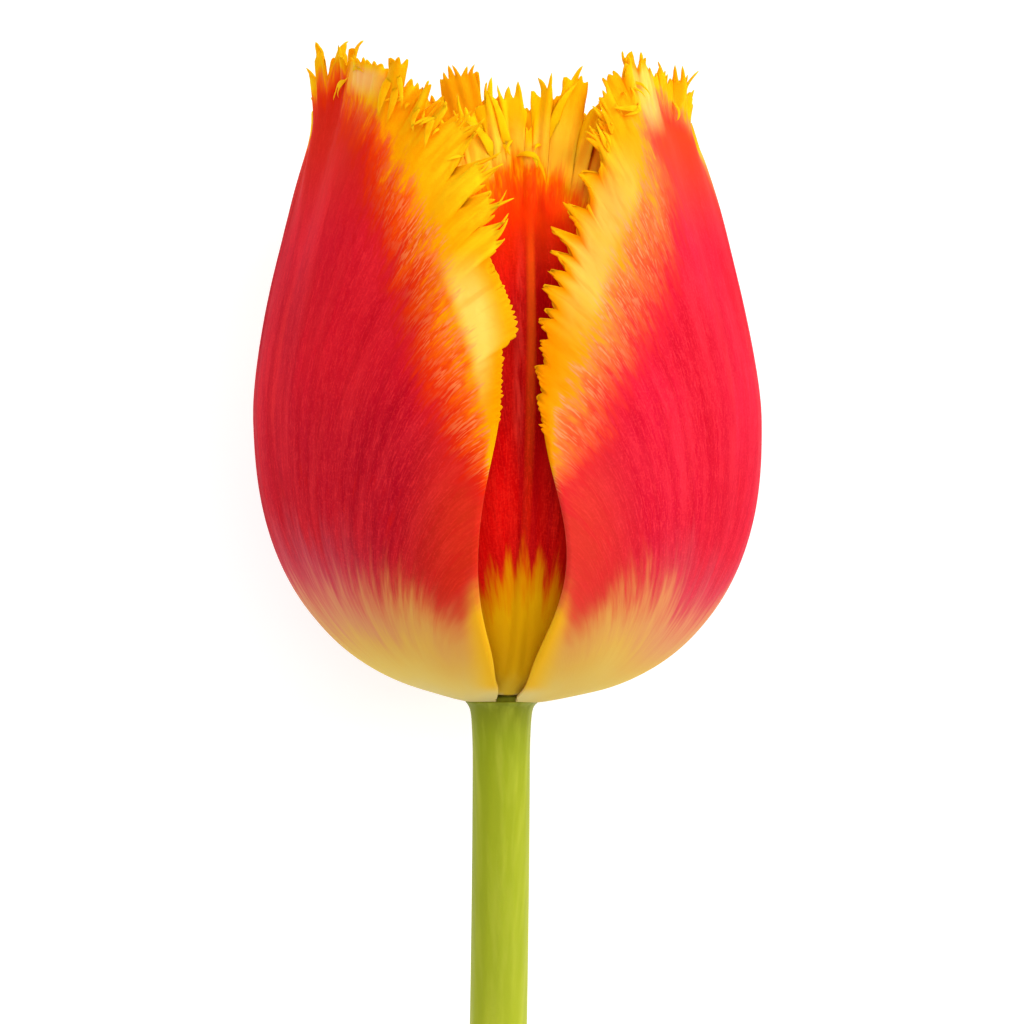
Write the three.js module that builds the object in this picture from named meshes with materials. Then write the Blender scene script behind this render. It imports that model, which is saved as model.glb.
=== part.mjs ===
// A fringed tulip, cut above its leaves and laid on its side. Millimetres, +Z up.
// The flower is worked out in its own upright frame: X to the right, Y up the stem's axis, Z to the front.
// The whole flower is then laid back on the surface Z = 0, resting on its belly and on the stem's cut end.
import * as THREE from "three";

// Bowl of the bloom: a superelliptic bottom up to the belly, then a slow narrowing to the mouth.
const bellyRadius = 28.1;
const bellyHeight = 30.9;
const bowlPower = 2.32; // 2 would be an ellipse
const narrowing = 0.0105; // share of the belly radius lost per mm, far above the belly
const narrowingStart = 10.7; // mm over which the narrowing sets in
const wallHeight = 52; // the meridian is worked out this far above the belly, past every tip
const mouthFlare = 0.9; // how far the tips lean out again at the mouth
const mouthFlareFrom = 62;
const mouthFlareTo = 73;
const bowlShift = 0.8; // the bowl bulges this far to the right of the stem just above its seat
const bowlLean = 0.0195; // and leans back to the left by this much per mm of height

// Receptacle and stem.
const stemRadius = 3.15;
const stemLength = 150;
const collarRadius = 4; // the stem's flare right under the bloom
const collarLength = 6.5;
const seatDrop = 0.3; // the collar's top face lies this far under the tepals
const domeRadius = 3.15;
const domeHeight = 2.6;
const stemOffset = -0.55; // the stalk runs this far to the side of the bloom's seat
const offsetReach = 4; // and gets there over this length
const stemSway = -5.5; // sideways drift of the cut end
const cutSlant = 0.35; // slope of the cut across the stem

// Tepals.
const clawRadius = 3.5; // where a tepal's base meets the receptacle
const baseThickness = 1.0;
const bladeThickness = 0.75;
const marginThickness = 0.62;
const seatGap = 0.1; // every tepal is lifted this far off its seat
const innerSeat = 1.35; // inner tepals stand this far inside the bowl at the base
const innerInset = 3.0; // and this far inside it from the belly up
const clawAngle = 50; // half of the base's arc round the receptacle, degrees
const creaseWidth = 3; // of the shallow groove along the midrib
const tipPinch = 2.2; // how many times deeper the groove gets towards the tip
const tipPinchFrom = 60; // distance from the base where it starts to deepen
const tipPinchTo = 80; // and where it is deepest
const veinTurn = 2; // veins leave the midrib as this power of their length,
const marginTurn = 9; // and a share of their way out follows this one, so they bend out at the margin
const marginTurnShare = 0.3;
const firstVein = 0.035; // where the lowest vein meets the margin, as a share of the margin's length
const stripShare = 0.05; // share of a vein's length taken by the margin strip

// Fringe: narrow pointed teeth, longest at the tip. Shares are of the margin's length, from the base.
const fringeFrom = 0.47; // the margin is smooth below this
const fringeFull = 0.95; // and its teeth have their full length from here
const firstTooth = 0.22; // length of the lowest teeth, as a share of the full one
const shortestDraw = 0.55; // each tooth's length is drawn from this share of its due
const longestDraw = 1.3; // up to this one
const toothSway = 0.5; // random throw of a point, along the margin in tooth widths and across in lengths

// Flat outlines of half a tepal, [half width, distance from the base], base to tip.
const broadOutline = [
  [3.0, 0], [11.1, 8.2], [18.8, 17], [25.2, 28.9], [29.8, 41], [30.4, 47.5],
  [28.8, 56], [25.6, 63.5], [21.2, 71.8], [17.6, 76], [13.4, 79.2], [7.6, 81.6], [0, 82.8],
];
const narrowOutline = [
  [3.0, 0], [11.6, 8.2], [18.4, 17], [23.0, 28.9], [27.4, 40], [27.9, 47],
  [25.6, 54.5], [21.4, 62.4], [16.0, 71.2], [13.6, 75.6], [11.4, 79.2], [7.0, 81.6], [0, 82.8],
];
const backOutline = [
  [3.0, 0], [10.2, 8.2], [16.8, 17], [22.0, 28.9], [25.4, 41], [25.8, 47],
  [24.6, 55], [22.2, 62.4], [17.8, 71.2], [14.6, 75.6], [11.0, 79], [6.2, 81.2], [0, 82.4],
];
const innerOutline = [
  [2.6, 0], [8.8, 8.2], [14.0, 17], [18.6, 28.9], [21.6, 41], [22.2, 47],
  [21.4, 54], [18.8, 61], [15.2, 67.4], [12.6, 70.8], [9.4, 73.6], [5.2, 75.6], [0, 76.6],
];

// Pose on the surface.
const pressDepth = 1.0; // how far the lowest tepal is flattened where it rests
const bellyRestHeight = 24; // height on the axis of that place

// Pistil and stamens.
const joinGap = 0.3; // between pieces that stand on each other
const pistilFoot = domeHeight + joinGap;
const ovaryHeight = 17;
const ovaryRadius = 2.35;
const ovaryRibs = 0.1; // how far its three corners stand out, as a share of the radius
const stigmaRadius = 3.5;
const stigmaHeight = 2.1;
const lobeValley = 0.55; // the stigma's radius between its lobes, as a share of the largest
const stamenCount = 6;
const filamentFootRadius = 2.5;
const filamentTopRadius = 4.9;
const filamentLength = 8.5;
const antherLength = 10.5;
const antherRadius = 1.15;
const antherFlatness = 0.8; // its depth as a share of its width
const antherGrooves = 0.16; // depth of its four lobes, as a share of the radius

const degrees = Math.PI / 180;
const smooth = (x, from, to) => {
  const t = Math.min(1, Math.max(0, (x - from) / (to - from)));
  return t * t * (3 - 2 * t);
};

const mix = (a, b, t) => a + (b - a) * t;

// A repeatable random number maker, 0 to 1.
function randomFrom(seed) {
  let state = seed >>> 0;
  return () => {
    state = (state + 0x6d2b79f5) >>> 0;
    let t = Math.imul(state ^ (state >>> 15), 1 | state);
    t = (t + Math.imul(t ^ (t >>> 7), 61 | t)) ^ t;
    return ((t ^ (t >>> 14)) >>> 0) / 4294967296;
  };
}

// The bowl's meridian as a table of { arc, rho, h }, from the receptacle's edge up past the tips.
function bowlMeridian() {
  const bowlSteps = 120;
  const wallSteps = 120;
  const power = 2 / bowlPower;
  const start = Math.asin((clawRadius / bellyRadius) ** (1 / power));
  const points = [];
  for (let i = 0; i <= bowlSteps; i++) {
    const angle = start + (Math.PI / 2 - start) * (i / bowlSteps);
    const rho = bellyRadius * Math.sin(angle) ** power;
    const h = bellyHeight * (1 - Math.max(0, Math.cos(angle)) ** power);
    points.push({ rho, h });
  }
  for (let i = 1; i <= wallSteps; i++) {
    const x = (wallHeight * i) / wallSteps;
    const h = bellyHeight + x;
    const wall = bellyRadius * (1 - (narrowing * x * x) / (x + narrowingStart));
    points.push({ rho: wall + mouthFlare * smooth(h, mouthFlareFrom, mouthFlareTo), h });
  }
  points[0].arc = 0;
  for (let i = 1; i < points.length; i++) {
    const a = points[i - 1];
    const b = points[i];
    b.arc = a.arc + Math.hypot(b.rho - a.rho, b.h - a.h);
  }
  return points;
}
const meridian = bowlMeridian();

// The bowl at a distance from the receptacle: radius, height, and the outward normal in that plane.
function bowlAt(arc) {
  let i = 1;
  while (i < meridian.length - 1 && meridian[i].arc < arc) i++;
  const a = meridian[i - 1];
  const b = meridian[i];
  const t = (arc - a.arc) / (b.arc - a.arc);
  const step = b.arc - a.arc;
  return {
    rho: a.rho + (b.rho - a.rho) * t,
    h: a.h + (b.h - a.h) * t,
    outRho: (b.h - a.h) / step,
    outH: -(b.rho - a.rho) / step,
  };
}

const splineOf = (outline) => new THREE.SplineCurve(outline.map(([w, a]) => new THREE.Vector2(w, a)));

// A tepal's middle surface. side is -1 or 1, s runs along that side's margin from the base (0) to the
// tip (1), and t runs along a vein from the base (0) to the margin (1).
function tepalPoint(tepal, side, s, t) {
  const margin = (side < 0 ? tepal.left : tepal.right).getPointAt(s);
  const arc = margin.y * t;
  const rim = bowlAt(margin.y);
  const rimAngle = margin.x / rim.rho;
  const footAngle = clawAngle * degrees * (1 - s);
  const angle = mix(footAngle, rimAngle, mix(t ** veinTurn, t ** marginTurn, marginTurnShare));
  const bowl = bowlAt(arc);
  const edge = smooth(t, 0.55, 1);
  const inset = tepal.inner
    ? innerSeat + (innerInset - innerSeat) * smooth(arc, 2, 32) + bladeThickness / 2
    : bladeThickness / 2 + seatGap;
  const depth = tepal.crease * smooth(arc, 8, 30) * mix(1, tipPinch, smooth(arc, tipPinchFrom, tipPinchTo));
  const crease = -depth * Math.exp(-((angle * bowl.rho / creaseWidth) ** 2));
  const wave = tepal.ruffle * edge * smooth(s, 0.35, 0.7)
    * Math.sin(tepal.waves * Math.PI * s * side + tepal.phase);
  const lean = tepal.lean * edge * edge * smooth(s, 0.3, 0.6);
  const out = crease + wave + lean - inset;
  const rho = bowl.rho + bowl.outRho * out;
  const h = bowl.h + bowl.outH * out + seatGap;
  const phi = tepal.centre * degrees + angle * side;
  const askew = bowlShift * smooth(bowl.rho, clawRadius + 0.5, 11) - bowlLean * h;
  return new THREE.Vector3(rho * Math.sin(phi) + askew, h, rho * Math.cos(phi));
}

// Places on a tepal by vein: column runs from -1 (left base corner) over 0 (midrib) to 1 (right corner).
function tepalAt(tepal, column, t) {
  const side = column < 0 ? -1 : 1;
  const s = firstVein + (1 - firstVein) * (1 - Math.abs(column));
  return tepalPoint(tepal, side, s, t);
}

// Unit normal pointing out of the bloom.
function tepalNormal(tepal, column, t) {
  const step = 0.004;
  const along = tepalAt(tepal, column, Math.min(1, t + step))
    .sub(tepalAt(tepal, column, Math.max(0, t - step)));
  const inside = Math.abs(column) < step ? step * 2 : 0;
  const across = tepalAt(tepal, Math.min(1, column + step + inside), t)
    .sub(tepalAt(tepal, Math.max(-1, column - step - inside), t));
  return across.cross(along).normalize();
}

// One tepal as a closed blade: a grid of veins, a strip along the margin, and the fringe's teeth.
function tepalGeometry(tepal) {
  const random = randomFrom(tepal.seed);
  const upper = []; // outside face
  const lower = []; // inside face
  const tops = [];
  const bottoms = [];
  const addPoint = (point, normal, thickness) => {
    upper.push(point.clone().addScaledVector(normal, thickness / 2));
    lower.push(point.clone().addScaledVector(normal, -thickness / 2));
    return upper.length - 1;
  };
  const addFace = (a, b, c) => {
    tops.push(a, b, c);
    bottoms.push(a, c, b);
  };
  const columns = tepal.columns;
  const rows = tepal.rows;
  const grid = [];
  for (let j = 0; j <= columns; j++) {
    const column = -1 + (2 * j) / columns;
    grid.push([]);
    for (let i = 0; i <= rows; i++) {
      const t = (1 - stripShare) * (i / rows);
      const body = mix(baseThickness, bladeThickness, smooth(t * (1 - Math.abs(column)), 0, 0.25));
      const thickness = mix(body, marginThickness, smooth(t, 0.5, 1));
      grid[j].push(addPoint(tepalAt(tepal, column, t), tepalNormal(tepal, column, t), thickness));
    }
  }
  for (let j = 0; j < columns; j++) {
    for (let i = 0; i < rows; i++) {
      addFace(grid[j][i], grid[j + 1][i], grid[j + 1][i + 1]);
      addFace(grid[j][i], grid[j + 1][i + 1], grid[j][i + 1]);
    }
  }
  // The margin, one column of the grid at a time. Its root points are shared with the next column.
  const rim = [];
  const rootAt = (column) => (
    addPoint(tepalAt(tepal, column, 1), tepalNormal(tepal, column, 1), marginThickness)
  );
  let root = rootAt(-1);
  rim.push(root);
  for (let j = 0; j < columns; j++) {
    const from = -1 + (2 * j) / columns;
    const to = -1 + (2 * (j + 1)) / columns;
    const middle = 1 - Math.abs(from + to) / 2;
    const fringed = middle > fringeFrom;
    const teeth = fringed ? tepal.teeth : 1;
    const roots = [root];
    for (let k = 1; k <= teeth; k++) roots.push(rootAt(from + ((to - from) * k) / teeth));
    const half = Math.floor(teeth / 2);
    const a = grid[j][rows];
    const b = grid[j + 1][rows];
    for (let k = 0; k < half; k++) addFace(a, roots[k + 1], roots[k]);
    addFace(a, b, roots[half]);
    for (let k = half; k < teeth; k++) addFace(b, roots[k + 1], roots[k]);
    for (let k = 0; k < teeth; k++) {
      if (fringed) {
        const column = from + ((to - from) * (k + 0.5)) / teeth;
        const foot = upper[roots[k]].clone().add(upper[roots[k + 1]])
          .add(lower[roots[k]]).add(lower[roots[k + 1]]).multiplyScalar(0.25);
        const normal = tepalNormal(tepal, column, 1);
        const vein = tepalAt(tepal, column, 1).sub(tepalAt(tepal, column, 0.95)).normalize();
        const grown = smooth(1 - Math.abs(column), fringeFrom, fringeFull);
        const due = tepal.toothLength * mix(firstTooth, 1, grown);
        const length = due * mix(shortestDraw, longestDraw, random());
        const across = upper[roots[k + 1]].clone().sub(upper[roots[k]]);
        const tip = foot.addScaledVector(vein, length)
          .addScaledVector(across, toothSway * (random() - 0.5))
          .addScaledVector(normal, length * (tepal.curl + toothSway * (random() - 0.5)));
        const point = addPoint(tip, normal, marginThickness);
        addFace(roots[k], roots[k + 1], point);
        rim.push(point);
      }
      rim.push(roots[k + 1]);
    }
    root = roots[teeth];
  }
  // The closed border: up the fringe from the left corner to the right one, then back along the base.
  const border = [...rim];
  for (let i = rows; i >= 0; i--) border.push(grid[columns][i]);
  for (let j = columns - 1; j >= 0; j--) border.push(grid[j][0]);
  for (let i = 1; i <= rows; i++) border.push(grid[0][i]);
  const count = upper.length;
  const indices = [...tops, ...bottoms.map((k) => k + count)];
  for (let k = 0; k < border.length; k++) {
    const a = border[k];
    const b = border[(k + 1) % border.length];
    indices.push(a, b, b + count, a, b + count, a + count);
  }
  const geometry = new THREE.BufferGeometry().setFromPoints([...upper, ...lower]);
  geometry.setIndex(indices);
  geometry.computeVertexNormals();
  return geometry;
}

// Flattens a tepal where it rests: no outside point lies under the surface, and the blade keeps its
// thickness there.
function pressFlat(geometry, floor) {
  const position = geometry.getAttribute("position");
  const half = position.count / 2; // outside points come first, then the inside ones
  const point = new THREE.Vector3();
  for (let k = 0; k < position.count; k++) {
    const least = k < half ? 0 : bladeThickness;
    point.fromBufferAttribute(position, k);
    const height = floor.distanceToPoint(point);
    if (height < least) point.addScaledVector(floor.normal, least - height);
    position.setXYZ(k, point.x, point.y, point.z);
  }
  geometry.computeVertexNormals();
  return geometry;
}

// Moves every point of a geometry by a rule on its place.
function reshape(geometry, rule) {
  const position = geometry.getAttribute("position");
  const point = new THREE.Vector3();
  for (let k = 0; k < position.count; k++) {
    rule(point.fromBufferAttribute(position, k));
    position.setXYZ(k, point.x, point.y, point.z);
  }
  geometry.computeVertexNormals();
  return geometry;
}

// A profile of [radius, height] pairs turned about the Y axis.
const turned = (profile, sides) => (
  new THREE.LatheGeometry(profile.map(([r, y]) => new THREE.Vector2(r, y)), sides)
);

// Stem with its flared collar and the receptacle's dome on top, drifting sideways to a slanted cut.
// The collar swells slowly at first, then flares right under the seat.
function stemGeometry() {
  const sides = 16;
  const steps = 12;
  const neck = -collarLength; // the flare starts here
  const edge = 0.25; // the collar's rounded rim
  const profile = [[0, -stemLength]];
  for (let i = 0; i <= steps; i++) profile.push([stemRadius, mix(-stemLength, neck, i / steps)]);
  for (const share of [0.35, 0.6, 0.78, 0.88, 0.94]) {
    const swelling = mix(share ** 2, share ** 9, 0.65);
    profile.push([mix(stemRadius, collarRadius, swelling), mix(neck, -seatDrop, share)]);
  }
  profile.push([collarRadius, -seatDrop - edge], [collarRadius - edge, -seatDrop], [domeRadius, -seatDrop]);
  profile.push([domeRadius, domeHeight - 0.6], [domeRadius - 0.5, domeHeight], [0, domeHeight]);
  return reshape(turned(profile, sides), (p) => {
    if (p.y < -stemLength + 1) p.y += cutSlant * p.z;
    p.x += stemOffset * smooth(-p.y, 0, offsetReach) + stemSway * (Math.min(0, p.y) / stemLength) ** 2;
  });
}

// Three-cornered ovary, standing on the receptacle. Its profile is in shares of its radius and height.
function ovaryGeometry() {
  const profile = [[0, 0], [0.66, 0], [0.86, 0.14], [1, 0.35], [0.98, 0.6], [0.86, 0.82], [0.8, 1], [0, 1]];
  return reshape(turned(profile, 18), (p) => {
    const reach = ovaryRadius * (1 + ovaryRibs * Math.cos(3 * Math.atan2(p.x, p.z)));
    p.set(p.x * reach, pistilFoot + p.y * ovaryHeight, p.z * reach);
  });
}

// Stigma: a crest of three lobes whose edges bend out and down. Its middle stays round.
function stigmaGeometry() {
  const profile = [
    [0, 0], [0.5, 0], [0.95, -0.2], [1, 0.1], [0.8, 0.65], [0.45, 1], [0.15, 0.8], [0, 0.78],
  ];
  const foot = pistilFoot + ovaryHeight + joinGap;
  return reshape(turned(profile, 24), (p) => {
    const lobe = Math.abs(Math.cos(1.5 * Math.atan2(p.x, p.z))) ** 0.7;
    const reach = stigmaRadius * (1 - Math.hypot(p.x, p.z) * (1 - lobeValley) * (1 - lobe));
    const droop = p.y < 0 ? lobe : 1;
    p.set(p.x * reach, foot + p.y * droop * stigmaHeight, p.z * reach);
  });
}

// A stamen's two parts, built up the Y axis from the stamen's foot.
function filamentGeometry() {
  const profile = [[0, 0], [0.55, 0], [0.62, 1.2], [0.42, 5], [0.24, filamentLength], [0, filamentLength]];
  return turned(profile, 8);
}

// Its profile is in shares of its radius and length.
function antherGeometry() {
  const profile = [
    [0, 0], [0.5, 0.03], [0.9, 0.14], [1, 0.4], [0.95, 0.7], [0.7, 0.9], [0.35, 0.99], [0, 1],
  ];
  return reshape(turned(profile, 12), (p) => {
    const reach = antherRadius * (1 + antherGrooves * Math.cos(4 * Math.atan2(p.x, p.z)));
    const height = filamentLength + joinGap + p.y * antherLength;
    p.set(p.x * reach, height, p.z * reach * antherFlatness);
  });
}

const material = (color, roughness) => new THREE.MeshStandardMaterial({ color, roughness, metalness: 0 });
const redTepal = material(0xc81e2c, 0.5);
const innerRed = material(0xd8201c, 0.5);
const greenStem = material(0x97a52c, 0.45);
const paleGreen = material(0xa9b65a, 0.5);
const creamStigma = material(0xe9dc9a, 0.7);
const paleFilament = material(0xd9c14a, 0.5);
const darkAnther = material(0x2b1a26, 0.85);

// centre is the midrib's bearing in degrees from the front, ruffle the height of the margin's waves and
// waves their number up one side, lean how far the margin leans out, and curl the same of the teeth.
const outer = {
  inner: false, left: backOutline, right: backOutline, lean: 0, curl: 0.1,
  columns: 26, rows: 12, teeth: 4, toothLength: 3.2, crease: 0.35, ruffle: 0.7, waves: 7,
};
const inner = {
  ...outer, inner: true, left: innerOutline, right: innerOutline, lean: -0.6, curl: -0.1, ruffle: 0.5,
  teeth: 3, toothLength: 5.2,
};
const tepals = [
  { ...outer, name: "outer_tepal_left", centre: -64, phase: 0.4, seed: 11, right: broadOutline },
  { ...outer, name: "outer_tepal_right", centre: 65, phase: 2.1, seed: 23, left: narrowOutline },
  { ...outer, name: "outer_tepal_back", centre: 180, phase: 1.0, seed: 37, columns: 28, rows: 16,
    crease: 0.15 },
  { ...inner, name: "inner_tepal_front", centre: 6, phase: 0.9, seed: 41 },
  { ...inner, name: "inner_tepal_left", centre: -119, phase: 2.8, seed: 53 },
  { ...inner, name: "inner_tepal_right", centre: 122, phase: 4.0, seed: 67 },
];
for (const tepal of tepals) {
  tepal.left = splineOf(tepal.left);
  tepal.right = splineOf(tepal.right);
}

// The pose: the belly's rest and the lower lip of the cut both touch the surface.
const bellyRest = meridian.find((p) => p.h >= bellyRestHeight).rho - pressDepth;
const cutLip = stemLength + cutSlant * stemRadius; // how far down the axis the cut's lower lip reaches
const tilt = Math.atan((bellyRest - stemRadius) / (bellyRestHeight + cutLip));
const axisRise = cutLip * Math.sin(tilt) + stemRadius * Math.cos(tilt);
const floorNormal = new THREE.Vector3(0, Math.sin(tilt), Math.cos(tilt));
const floor = new THREE.Plane(floorNormal, axisRise);

const flower = new THREE.Group();
const add = (group, name, geometry, finish) => {
  const mesh = new THREE.Mesh(geometry, finish);
  mesh.name = name;
  group.add(mesh);
};

add(flower, "stem", stemGeometry(), greenStem);
for (const tepal of tepals) {
  const geometry = tepalGeometry(tepal);
  if (tepal.name === "outer_tepal_back") pressFlat(geometry, floor);
  add(flower, tepal.name, geometry, tepal.inner ? innerRed : redTepal);
}
add(flower, "ovary", ovaryGeometry(), paleGreen);
add(flower, "stigma", stigmaGeometry(), creamStigma);
const stamenLean = Math.atan((filamentTopRadius - filamentFootRadius) / filamentLength);
for (let k = 0; k < stamenCount; k++) {
  const turn = new THREE.Group();
  turn.rotation.y = (2 * Math.PI * (k + 0.5)) / stamenCount;
  const stand = new THREE.Group();
  stand.position.set(0, pistilFoot, filamentFootRadius);
  stand.rotation.x = stamenLean;
  turn.add(stand);
  flower.add(turn);
  add(stand, `filament_${k + 1}`, filamentGeometry(), paleFilament);
  add(stand, `anther_${k + 1}`, antherGeometry(), darkAnther);
}

// Lay the flower back; the origin is the middle of the flat spot that it rests on.
flower.rotation.x = tilt;
const rest = new THREE.Vector3(0, bellyRestHeight, -bellyRest);
rest.applyAxisAngle(new THREE.Vector3(1, 0, 0), tilt);
flower.position.set(0, -rest.y, axisRise);

const part = new THREE.Group();
part.add(flower);
export default part;
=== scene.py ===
import math

import bpy
import numpy as np
from mathutils import Euler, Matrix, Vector


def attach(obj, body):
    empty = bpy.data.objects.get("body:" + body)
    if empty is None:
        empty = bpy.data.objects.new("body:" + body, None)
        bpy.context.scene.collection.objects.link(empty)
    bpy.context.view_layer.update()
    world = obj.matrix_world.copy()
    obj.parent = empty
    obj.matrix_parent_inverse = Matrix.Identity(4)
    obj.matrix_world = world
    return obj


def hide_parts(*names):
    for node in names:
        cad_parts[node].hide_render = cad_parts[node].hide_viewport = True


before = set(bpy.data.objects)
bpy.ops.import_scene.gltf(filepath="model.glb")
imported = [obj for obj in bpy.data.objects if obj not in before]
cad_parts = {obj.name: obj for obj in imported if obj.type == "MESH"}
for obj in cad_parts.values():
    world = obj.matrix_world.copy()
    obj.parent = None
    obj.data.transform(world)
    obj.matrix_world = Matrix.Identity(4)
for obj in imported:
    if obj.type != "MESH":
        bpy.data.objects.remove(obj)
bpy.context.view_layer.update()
print("tulip: frame loaded,", len(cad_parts), "solids")

mm = 0.001

# The flower is worked out upright in mm: x to the right, y up the stem, z to the front. layBack puts it down.
bowl = {
    "bellyRadius": 28.1,
    "bellyHeight": 30.9,
    "power": 2.32,
    "narrowing": 0.0105,
    "narrowingStart": 10.7,
    "wallHeight": 62,
    "mouthFlare": 0.9,
    "flareFrom": 62,
    "flareTo": 73,
    "shift": 0.8,  # the bowl bulges to the right just above its seat
    "lean": 0.0195,  # and leans back to the left, mm per mm
    "clawRadius": 3.5,
    "seatGap": 0.1,
}
stalk = {
    "radius": 3.15,
    "length": 150,
    "collarRadius": 4.0,
    "collarLength": 6.5,
    "domeRadius": 3.15,
    "domeHeight": 2.6,
    "sway": -5.5,
    "offset": -0.55,
    "cutSlant": 0.35,
    "sides": 96,
    "rows": 200,
}
rest = {
    "pressDepth": 1.0,  # how far the surface presses the belly in
    "bellyRestHeight": 24,
    "softness": 0.25,
    "blade": 0.75,  # thickness kept free for a blade
}


def smoothStep(x, low, high):
    # 3t^2 - 2t^3, with t the share of the way from low to high
    t = np.clip((x - low) / (high - low), 0, 1)
    return t * t * (3 - 2 * t)


def mix(a, b, t):
    # the share t of the way from a to b
    return a + (b - a) * t


def unit(v):
    # each vector divided by its length
    return v / np.maximum(np.linalg.norm(v, axis=-1, keepdims=True), 1e-9)


def bowlTable():
    # The bowl's outline. Bottom: radius R sin(a)^(2/p), height H (1 - cos(a)^(2/p)). Wall: radius
    # R (1 - n x^2 / (x + start)) at the height x over the belly, plus the flare of the mouth.
    power = 2 / bowl["power"]
    start = math.asin((bowl["clawRadius"] / bowl["bellyRadius"]) ** (1 / power))
    a = np.linspace(start, math.pi / 2, 400)
    x = np.linspace(0, bowl["wallHeight"], 400)[1:]
    h = np.concatenate([
        bowl["bellyHeight"] * (1 - np.clip(np.cos(a), 0, None) ** power),
        bowl["bellyHeight"] + x,
    ])
    rho = np.concatenate([
        bowl["bellyRadius"] * np.sin(a) ** power,
        bowl["bellyRadius"] * (1 - bowl["narrowing"] * x * x / (x + bowl["narrowingStart"])),
    ])
    rho += bowl["mouthFlare"] * smoothStep(h, bowl["flareFrom"], bowl["flareTo"])
    steps = np.hypot(np.diff(rho), np.diff(h))
    arc = np.concatenate([[0], np.cumsum(steps)])
    slopeRho, slopeH = np.gradient(rho, arc), np.gradient(h, arc)
    size = np.hypot(slopeRho, slopeH)
    return {"arc": arc, "rho": rho, "h": h, "outRho": slopeH / size, "outH": -slopeRho / size}


meridian = bowlTable()


def bowlAt(arc):
    # radius, height and outward normal at a distance from the receptacle's edge
    return [np.interp(arc, meridian["arc"], meridian[k]) for k in ("rho", "h", "outRho", "outH")]


# the lowest tepal's belly and the lower lip of the stem's cut touch the surface
bellyRest = np.interp(rest["bellyRestHeight"], meridian["h"], meridian["rho"]) - rest["pressDepth"]
cutLip = stalk["length"] + stalk["cutSlant"] * stalk["radius"]
tilt = math.atan((bellyRest - stalk["radius"]) / (rest["bellyRestHeight"] + cutLip))
axisRise = cutLip * math.sin(tilt) + stalk["radius"] * math.cos(tilt)
restShift = rest["bellyRestHeight"] * math.cos(tilt) + bellyRest * math.sin(tilt)


def layBack(points):
    # turned about x by the tilt, then moved so that the middle of the flat spot is the origin; metres
    x, y, z = points[..., 0], points[..., 1], points[..., 2]
    cos, sin = math.cos(tilt), math.sin(tilt)
    laid = np.stack([x, y * cos - z * sin - restShift, y * sin + z * cos + axisRise], axis=-1)
    return laid * mm


def makePiece(name, points, faces, node, material, uv=None, floats=None):
    # one closed mesh of triangles, laid back into the row frame, standing for a solid of the frame
    mesh = bpy.data.meshes.new(name)
    mesh.vertices.add(len(points))
    mesh.vertices.foreach_set("co", layBack(points).astype(np.float32).ravel())
    mesh.loops.add(faces.size)
    mesh.loops.foreach_set("vertex_index", faces.astype(np.int32).ravel())
    mesh.polygons.add(len(faces))
    mesh.polygons.foreach_set("loop_start", np.arange(0, faces.size, 3, dtype=np.int32))
    mesh.update(calc_edges=True)
    mesh.polygons.foreach_set("use_smooth", np.ones(len(faces), dtype=bool))
    if uv is not None:
        layer = mesh.uv_layers.new(name="veinMap")
        layer.data.foreach_set("uv", uv[faces.ravel()].astype(np.float32).ravel())
    for key, values in (floats or {}).items():
        kind = "FLOAT" if values.ndim == 1 else "FLOAT_VECTOR"
        field = "value" if values.ndim == 1 else "vector"
        target = mesh.attributes.new(key, kind, "POINT")
        target.data.foreach_set(field, values.astype(np.float32).ravel())
    mesh.update()
    piece = bpy.data.objects.new(name, mesh)
    bpy.context.scene.collection.objects.link(piece)
    mesh.materials.append(material)
    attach(piece, "root")
    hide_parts(node)
    return piece


def gridFaces(ids, wrap=False):
    # two triangles for each cell of a grid of vertex numbers, [column, row]
    a, b = (ids, np.roll(ids, -1, axis=0)) if wrap else (ids[:-1], ids[1:])
    a0, a1, b0, b1 = a[:, :-1], a[:, 1:], b[:, :-1], b[:, 1:]
    return np.concatenate([
        np.stack([a0, b0, b1], axis=-1).reshape(-1, 3),
        np.stack([a0, b1, a1], axis=-1).reshape(-1, 3),
    ])


def linear(code, alpha=1.0):
    # sRGB hex to linear light
    value = np.array([int(code[i:i + 2], 16) for i in (1, 3, 5)]) / 255
    value = np.where(value <= 0.04045, value / 12.92, ((value + 0.055) / 1.055) ** 2.4)
    return (*value.tolist(), alpha)


def addNode(tree, kind, inputs=None, stops=None, **settings):
    # a node with its settings; an input is a number, a colour or the socket it is linked to
    node = tree.nodes.new("ShaderNode" + kind)
    for key, value in settings.items():
        setattr(node, key, value)
    if stops:
        ramp = node.color_ramp
        ramp.elements[0].position, ramp.elements[0].color = stops[0][0], linear(stops[0][1])
        ramp.elements[1].position, ramp.elements[1].color = stops[-1][0], linear(stops[-1][1])
        for place, code in stops[1:-1]:
            ramp.elements.new(place).color = linear(code)
    for key, value in (inputs or {}).items():
        if isinstance(value, bpy.types.NodeSocket):
            tree.links.new(value, node.inputs[key])
        else:
            node.inputs[key].default_value = value
    return node


def newMaterial(name):
    # an empty node material and its tree
    material = bpy.data.materials.new(name)
    material.use_nodes = True
    material.node_tree.nodes.clear()
    return material, material.node_tree


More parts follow.
